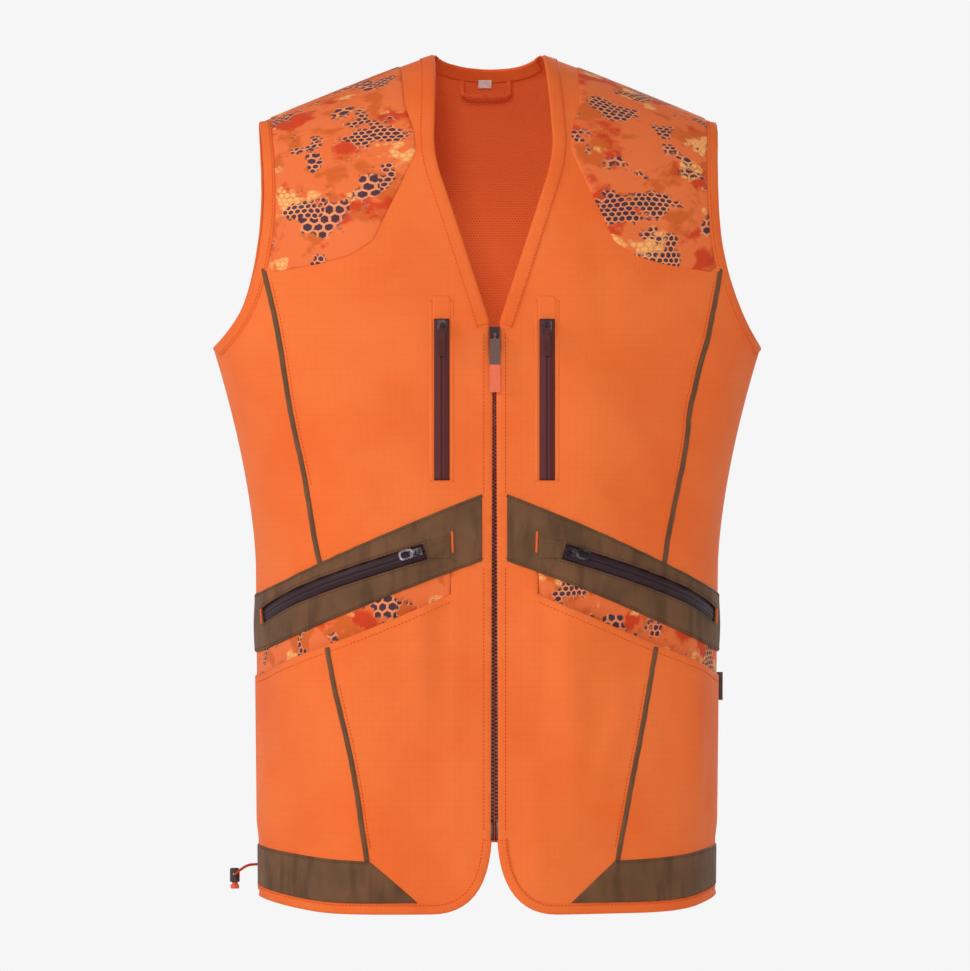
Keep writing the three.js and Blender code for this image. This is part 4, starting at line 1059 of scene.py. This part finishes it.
def waist_pocket(side):
    shell, body = f"front_shell_{side}", f"front_{side}"
    top, bottom = upto_side(panel_top), upto_side(panel_bottom)
    outline = [*bottom, *side_line(bottom[-1][1] + 4, top[-1][1] - 4)[::6], *top[::-1]]
    line = waist_zip_line(0.035)
    hole = np.array(band([tuple(p) for p in line], ZIP_WIDTH / 2 - 0.2, -ZIP_WIDTH / 2 + 0.2))
    sewn(f"waist_panel_{side}", FRONT, side, outline, SHELL, TRIM_OUT + 0.1, [OLIVE], "olive_twill",
         "waist_pocket_panel", ride=body, spacing=3.2, lift=panel_puckers, hole=hole,
         held="laid", rests_on=[shell])
    half = ZIP_WIDTH / 2 + 0.6
    profile = [(-half, 1.0), (half, 1.0), (half, 1.7), (3.4, 1.95), (2.7, 2.35), (0.5, 2.45), (0, 1.9)]
    profile += [(-0.5, 2.45), (-2.7, 2.35), (-3.4, 1.95), (-half, 1.7)]
    swept(f"waist_zip_{side}_strip", FRONT, side, [tuple(p) for p in line], profile, WAIST_LAMINATE, "dark_zip",
          "waist_zip", ride=body)
    garage = [(GARAGE[0], 309.5), (GARAGE[1], 309.5), (GARAGE[1] + 1.5, 324), (GARAGE[0], 330)]
    sewn(f"zip_garage_{side}", FRONT, side, garage, TRIM_OUT - 0.1, TRIM_OUT + 0.9, [OLIVE], "olive_twill",
         ride=body, spacing=2.5, lift=panel_puckers, held="laid", rests_on=[f"waist_panel_{side}"])
    bar = [(-1.1, 2.4), (1.1, 2.4), (0.9, 3.3), (0, 3.7), (-0.9, 3.3)]
    s, v = waist_zip_line()[-1]
    ends = {"tack": [(TACK_X, 315), (TACK_X + 0.6, 333.5)], "end_tack": [(s + 1.5, v - 7), (s + 3, v + 6)]}
    for name, place in ends.items():
        swept(f"waist_{name}_{side}", FRONT, side, place, bar, TACK, "orange_shell", ride=body,
              step=0.6, lift=tack_lift)
    foot = POCKET_FOOT_Z + 72
    bag = [(28, foot), (188, foot), (188, height_on(waist_line, 188)), (28, height_on(waist_line, 28))]
    sewn(f"waist_bag_{side}", FRONT, side, bag, BAG_LOW, -GAP, [LINING], "lining", "waist_pocket_bag",
         ride=body, spacing=8, rests_on=[f"waist_panel_{side}"])
    inner = MOUTH_INNER[0] + 0.4
    facing = [(inner, POCKET_FOOT_Z), *side_line(POCKET_FOOT_Z, waist_line[-1][1])[::5]]
    facing += [waist_line[-1], *[p for p in waist_line if p[0] > inner][::-1]]
    facing.append((inner, height_on(waist_line, inner)))
    sewn(f"cargo_facing_{side}", FRONT, side, facing, 0.1, SHELL - 0.3, [CAMO, LINING], "camo",
         "cargo_pocket_facing", ride=body, rests_on=[shell])


# ---- chest pockets ----
def chest_pocket(side):
    shell, body = f"front_shell_{side}", f"front_{side}"
    half = CHEST_ZIP_WIDTH / 2
    profile = [(-half, 1.2), (half, 1.2), (half, 1.9), (half - 0.5, 2.15), (3.2, 2.2), (2.6, 2.45), (0.5, 2.55)]
    profile += [(0, 2.1), *[(-a, b) for a, b in profile[2:][::-1]]]
    line = [(CHEST_ZIP_X, CHEST_ZIP_LOW), (CHEST_ZIP_X, CHEST_ZIP_HIGH)]
    swept(f"chest_zip_{side}_strip", FRONT, side, line, profile, CHEST_LAMINATE, "maroon_zip", "chest_zip",
          ride=body)
    x, low, high = CHEST_ZIP_X, CHEST_ZIP_HIGH - 1.5, CHEST_ZIP_HIGH + 20
    patch = [(x - 8, low), (x + 8, low), (x + 8, high - 3), (x + 6, high), (x - 6, high), (x - 8, high - 3)]
    sewn(f"chest_weld_{side}", FRONT, side, patch, SHELL - 0.2, SHELL + 0.5, [ORANGE], "orange_shell",
         spacing=2.5, edge_drop=0.35, held="laid", rests_on=[shell])
    lip = [(-1.6, 1.2), (1.6, 1.2), (1.3, 1.7), (0, 1.85), (-1.3, 1.7)]
    for name, at in (("inner", x - half - 2.2), ("outer", x + half + 2.2)):
        swept(f"chest_lip_{side}_{name}", FRONT, side, [(at, CHEST_ZIP_LOW - 1), (at, high - 4)], lip, ORANGE,
              "orange_shell")
    bag = [(24, CHEST_ZIP_LOW - 10), (108, CHEST_ZIP_LOW - 10), (108, 518), (24, 518)]
    sewn(f"chest_bag_{side}", FRONT, side, bag, BAG_LOW, -GAP, [LINING], "lining", "chest_pocket_bag",
         ride=body, spacing=8, rests_on=[shell])


# ---- main zip ----
TOOTH_PITCH = 3.2
TEETH_LOW, TEETH_HIGH = 67.5, 490
TOOTH_ROOT_X, TOOTH_TIP_X = 3.4, 0.46  # the slider's neck runs between the rows
TOOTH_HALF_Z = 1.05
TOOTH_BACK_Y, TOOTH_FRONT_Y = 2.3, 0.2  # behind the body's front plane


def main_zip(side):
    sign, body = SIDES[side], f"front_{side}"
    y = FRONT["y"]
    strip = [(TOOTH_TIP_X, ZIP_BOTTOM_Z), (16, ZIP_BOTTOM_Z), (16, 488), (TOOTH_TIP_X, 488)]
    sewn(f"main_zip_tape_{side}_weave", FRONT, side, strip, -1.8, -1.0, [TAPE], "dark_zip", "main_zip_tape",
         ride=body, spacing=4, folds=False, held="laid", rests_on=[f"front_shell_{side}"])
    points, faces = [], []
    shift = 0 if sign > 0 else TOOTH_PITCH / 2

    def chamfered(x0, x1, y0, y1, z0, z1):
        """A block whose tip end is drawn in."""
        first = len(points)
        narrow = 0.3 * (z1 - z0) / 2
        for x, inset in ((x1, 0), (x0 + 0.35 * (x1 - x0), 0), (x0, narrow)):
            near, far, foot, head = y0 + inset, y1 - inset, z0 + inset, z1 - inset
            points.extend((x * sign, b, c) for b, c in ((near, foot), (far, foot), (far, head), (near, head)))
        for r in range(2):
            for k in range(4):
                a, c = first + r * 4 + k, first + r * 4 + (k + 1) % 4
                faces.append((a, c, c + 4, a + 4))
        faces.append(tuple(first + k for k in (3, 2, 1, 0)))
        faces.append(tuple(first + 8 + k for k in range(4)))

    for z in np.arange(TEETH_LOW + 14 + shift, TEETH_HIGH, TOOTH_PITCH):
        chamfered(TOOTH_TIP_X, TOOTH_ROOT_X, y + TOOTH_FRONT_Y, y + TOOTH_BACK_Y,
                  z - TOOTH_HALF_Z, z + TOOTH_HALF_Z)
    chamfered(TOOTH_TIP_X, TOOTH_ROOT_X + 1, y - 0.8, y + TOOTH_BACK_Y, ZIP_BOTTOM_Z + 0.6, TEETH_LOW + 12.5)
    teeth = new_object(f"main_zip_teeth_{side}", to_frame(points), faces, [TEETH])
    bevel = teeth.modifiers.new("soft", "BEVEL")
    bevel.width, bevel.segments = 0.00022, 2
    moving(teeth, side, "dark_zip", ride=body)


# ---- small pieces ----
def slab(name, outer, inner, material):
    """A thin closed piece between two grids of points in the frame."""
    rows, columns = outer.shape[:2]
    points = np.vstack([outer.reshape(-1, 3), inner.reshape(-1, 3)])
    count = rows * columns
    at = np.arange(count).reshape(rows, columns).tolist()
    faces = []
    for above, below in zip(at, at[1:]):
        for k in range(columns - 1):
            q = (above[k], above[k + 1], below[k + 1], below[k])
            faces += [q, tuple(p + count for p in q[::-1])]
    loop = at[0] + [row[-1] for row in at[1:]] + at[-1][-2::-1] + [row[0] for row in at[-2:0:-1]]
    faces += [(b, a, a + count, b + count) for a, b in zip(loop, loop[1:] + loop[:1])]
    return new_object(name, points, faces, [material])


LABEL_ROOT = 0.0018  # of the tag, inside the seam


def side_label():
    """A woven tag folded over, with both ends in the side seam."""
    low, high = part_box("side_label")
    reach, half, thick = high.x - low.x + LABEL_ROOT, 0.00045, 0.00035
    turns = np.linspace(-math.pi / 2, math.pi / 2, 7)
    tip = [(reach - half + half * math.cos(a), half * math.sin(a)) for a in turns]
    path = np.array([(x, -half) for x in np.linspace(0, reach - half, 7)][:-1] + tip
                    + [(x, half) for x in np.linspace(reach - half, 0, 7)][1:])
    along = unit(np.gradient(path, axis=0))
    normal = np.stack([along[:, 1], -along[:, 0]], 1)
    rows = np.linspace(0, 1, 12)
    layers = []
    for out in (0, -thick):
        p = path + normal * out
        layer = np.zeros((len(rows), len(p), 3))
        for i, up in enumerate(rows):
            bend = 0.0009 * (p[:, 0] / reach) * math.sin(3.2 * up + 0.5)
            x = low.x - LABEL_ROOT + p[:, 0]
            z = np.full(len(p), low.z + up * (high.z - low.z))
            layer[i] = np.stack([x, (low.y + high.y) / 2 + p[:, 1] + bend, z], 1)
        layers.append(layer)
    label = slab("side_tag", *layers, BROWN_LABEL)
    moving(label, None, "brown_label", "side_label", ride="back")


def hanger_loop():
    low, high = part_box("hanger_loop")
    y, top, foot = (low.y + high.y) / 2, high.z, low.z
    x, bend, half = high.x - 0.0022, 0.007, 0.0021
    path = [(x, top), *bezier((x, foot + bend), (x, foot + 0.0022), (x - bend, foot + 0.0022))]
    path += [(0, foot + 0.0018)]
    path = finer(path + [(-a, b) for a, b in path[::-1]][1:], 0.0015)
    p = np.array(path)
    along = unit(np.gradient(p, axis=0))
    sideways = np.stack([-along[:, 1], along[:, 0]], 1)
    grid = np.zeros((len(p), 5, 3))
    for k, share in enumerate(np.linspace(-1, 1, 5)):
        q = p + sideways * half * share
        grid[:, k] = np.stack([q[:, 0], np.full(len(q), y - 0.0005 - 0.0002 * (1 - share**2)), q[:, 1]], 1)
    loop = slab("hanger_loop_tape", grid, grid + (0, 0.0010, 0), TRIM_ORANGE_FLAT)
    moving(loop, None, "lining", "hanger_loop", ride="hanger_loop")


def seam_lining(side):
    """The lining bridges the side seam."""
    top, low = UNDERARM_Z - 6, 22
    front_turn, back_turn = math.radians(12), math.radians(22)
    rows = []
    for share in np.linspace(-1, 1, 17):
        face = FRONT if share < 0 else BACK
        turn = math.pi / 2 + share * front_turn if share < 0 else math.pi / 2 - share * back_turn
        v = np.linspace(low, top, 40)
        s = np.full(len(v), face["flat"] + face["radius"] * turn)
        p = surface(face, s, v)
        n = surface_normal(face, s - 0.01, v)
        rows.append((p - n * 1.3, p - n * 0.6))
    inner, outer = (np.stack([r[k] for r in rows]) * (SIDES[side], 1, 1) for k in (0, 1))
    strip = slab(f"side_lining_{side}", to_frame(outer), to_frame(inner), LINING_FLAT)
    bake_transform(strip)


def all_stitching():
    for side, sign in SIDES.items():
        body = f"front_{side}"
        edge = shifted(armhole, -ARM_BAND + 1.6)
        upper = [
            (FRONT, sign, on_front(edge), TRIM_OUT, None),
            (FRONT, sign, on_front(shifted(neckline, -NECK_BAND + 1.4)), TRIM_OUT - 0.3, None),
            (FRONT, sign, on_front([p for p in shifted(seam, -4.4) if p[1] > 366]), SHELL, None),
        ]
        moving(stitching(f"stitches_{side}_upper", upper, [THREAD]), side, "orange_shell")
        back = [(BACK, sign, on_back(edge), TRIM_OUT, None)]
        moving(stitching(f"stitches_{side}_armhole_back", back, [THREAD]), side, "orange_shell", ride="back")
        mouth = [(x, mouth_height(x)) for x in np.linspace(MOUTH_INNER[0] + 2, MOUTH_SIDE[0] - 3, 12)]
        lower = [
            (FRONT, sign, on_front([(9.5, 74), (9.5, 300)]), SHELL, pocket_lift),
            (FRONT, sign, on_front([(9.5, 368), (9.5, 505)]), SHELL, None),
            (FRONT, sign, on_front(shifted(front_hem, -HEM_BAND + 1.5)), TRIM_OUT, None),
            (FRONT, sign, on_front([(x, z - 7) for x, z in mouth]), SHELL, pocket_lift),
            (FRONT, sign, on_front([p for p in shifted(seam, -4.2) if 50 < p[1] < 205]), SHELL, pocket_lift),
        ]
        moving(stitching(f"stitches_{side}_lower", lower, [THREAD]), side, "orange_shell", ride=body)
        line = [tuple(p) for p in waist_zip_line()]
        olive = [
            (FRONT, sign, row, TRIM_OUT + 0.1, panel_puckers)
            for row in (
                on_front([(x, z - 2.2) for x, z in upto_side(panel_top)]),
                on_front([(x, z + 2.2) for x, z in upto_side(panel_bottom)]),
                shifted(line, ZIP_WIDTH / 2 + 1.8),
                shifted(line, -ZIP_WIDTH / 2 - 1.8),
            )
        ]
        corner = on_front(bezier((109, 43.6), (150, 44.6), (180, 47.2), (199, 52.4)))
        olive.append((FRONT, sign, corner, TRIM_OUT, None))
        moving(stitching(f"stitches_{side}_olive", olive, [OLIVE_THREAD]), side, "olive_twill", ride=body)
    yoke = [(x, YOKE_Z + rise) for x, rise in ((-194, -1.5), (-100, 7.5), (0, 10.5), (100, 7.5), (194, -1.5))]
    back = [
        (BACK, 1, on_back(shifted(back_hem, -HEM_BAND + 1.5)), TRIM_OUT, None),
        (BACK, 1, on_back(yoke), SHELL, None),
        (BACK, 1, on_back(shifted(back_neck, -8.5)), SHELL, None),
    ]
    moving(stitching("stitches_back", back, [THREAD]), None, "orange_shell", ride="back")


# ---- the frame's hard pieces ----
def soften(node, material, width=0.0003):
    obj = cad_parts[node]
    obj.data.materials.clear()
    obj.data.materials.append(material)
    bevel = obj.modifiers.new("soft", "BEVEL")
    bevel.width, bevel.segments, bevel.limit_method, bevel.angle_limit = width, 3, "ANGLE", math.radians(35)
    bevel.harden_normals = True
    obj.data.polygons.foreach_set("use_smooth", [True] * len(obj.data.polygons))


def hard_pieces():
    soften("main_slider", METAL)
    soften("main_pull", PULL_MAIN, 0.0004)
    for side in SIDES:
        soften(f"chest_slider_{side}", METAL)
        soften(f"chest_pull_{side}", PULL_DARK, 0.0004)
        soften(f"waist_slider_{side}", METAL)
        soften(f"waist_pull_{side}", RING, 0.0005)
        soften(f"cord_lock_body_{side}", LOCK, 0.0004)
        soften(f"cord_lock_button_{side}", BUTTON, 0.0004)


# ---- studio ----
FLOOR_BELOW, FLOOR_RADIUS = 0.3, 2.4
HORIZON_BAND = (0.14, 0.24)  # sine of its height, where the bright band starts to fade and ends
SKY_LIGHT, HORIZON_LIGHT = 0.42, 0.92


def studio():
    scene = bpy.context.scene
    scene.view_settings.view_transform = "Standard"
    look = Look("studio_paper", 0.95, False)
    look.colour(look.mix(look.noise(2, 2), (0.88, 0.88, 0.88, 1), (0.92, 0.92, 0.92, 1)))
    z = cad_low.z - FLOOR_BELOW
    turns = np.linspace(0, 2 * math.pi, 96, endpoint=False)
    mesh = bpy.data.meshes.new("floor")
    rim = [(FLOOR_RADIUS * math.cos(a), FLOOR_RADIUS * math.sin(a), z) for a in turns]
    mesh.from_pydata(rim, [], [tuple(range(len(rim)))])
    mesh.materials.append(look.material)
    floor = bpy.data.objects.new("floor", mesh)
    scene.collection.objects.link(floor)
    world = bpy.data.worlds.new("studio")
    world.use_nodes = True
    tree = world.node_tree
    background = next(n for n in tree.nodes if n.type == "BACKGROUND")
    coordinates = tree.nodes.new("ShaderNodeTexCoord")
    split = tree.nodes.new("ShaderNodeSeparateXYZ")
    height = tree.nodes.new("ShaderNodeMath")
    height.operation = "ABSOLUTE"
    level = tree.nodes.new("ShaderNodeMapRange")
    level.interpolation_type = "SMOOTHSTEP"
    ends = (*HORIZON_BAND, HORIZON_LIGHT, SKY_LIGHT)
    for name, value in zip(("From Min", "From Max", "To Min", "To Max"), ends):
        level.inputs[name].default_value = value
    tree.links.new(coordinates.outputs["Generated"], split.inputs[0])
    tree.links.new(split.outputs["Z"], height.inputs[0])
    tree.links.new(height.outputs[0], level.inputs["Value"])
    tree.links.new(level.outputs["Result"], background.inputs["Strength"])
    background.inputs["Color"].default_value = (1, 1, 1, 1)
    scene.world = world
    aim = (cad_low + cad_high) / 2
    for name, place, size, power in (
        ("key", (-0.7, -4.6, 0.9), 0.9, 62),
        ("rake", (-3.2, -1.3, 1.0), 1.0, 34),
        ("back", (1.6, 4.2, 1.2), 1.2, 60),
    ):
        lamp = bpy.data.objects.new(name, bpy.data.lights.new(name, "AREA"))
        lamp.data.shape, lamp.data.size, lamp.data.energy = "DISK", size, power
        lamp.location = place
        lamp.rotation_mode = "QUATERNION"
        lamp.rotation_quaternion = (aim - Vector(place)).to_track_quat("-Z", "Y")
        scene.collection.objects.link(lamp)


for name in SIDES:
    hem_cord(name)
back_shell()
back_trims()
for name in SIDES:
    front_shell(name)
    shoulder_trims(name)
    pipings(name)
    hem_trims(name)
    waist_pocket(name)
    chest_pocket(name)
    main_zip(name)
    seam_lining(name)
side_label()
hanger_loop()
all_stitching()
hard_pieces()
studio()
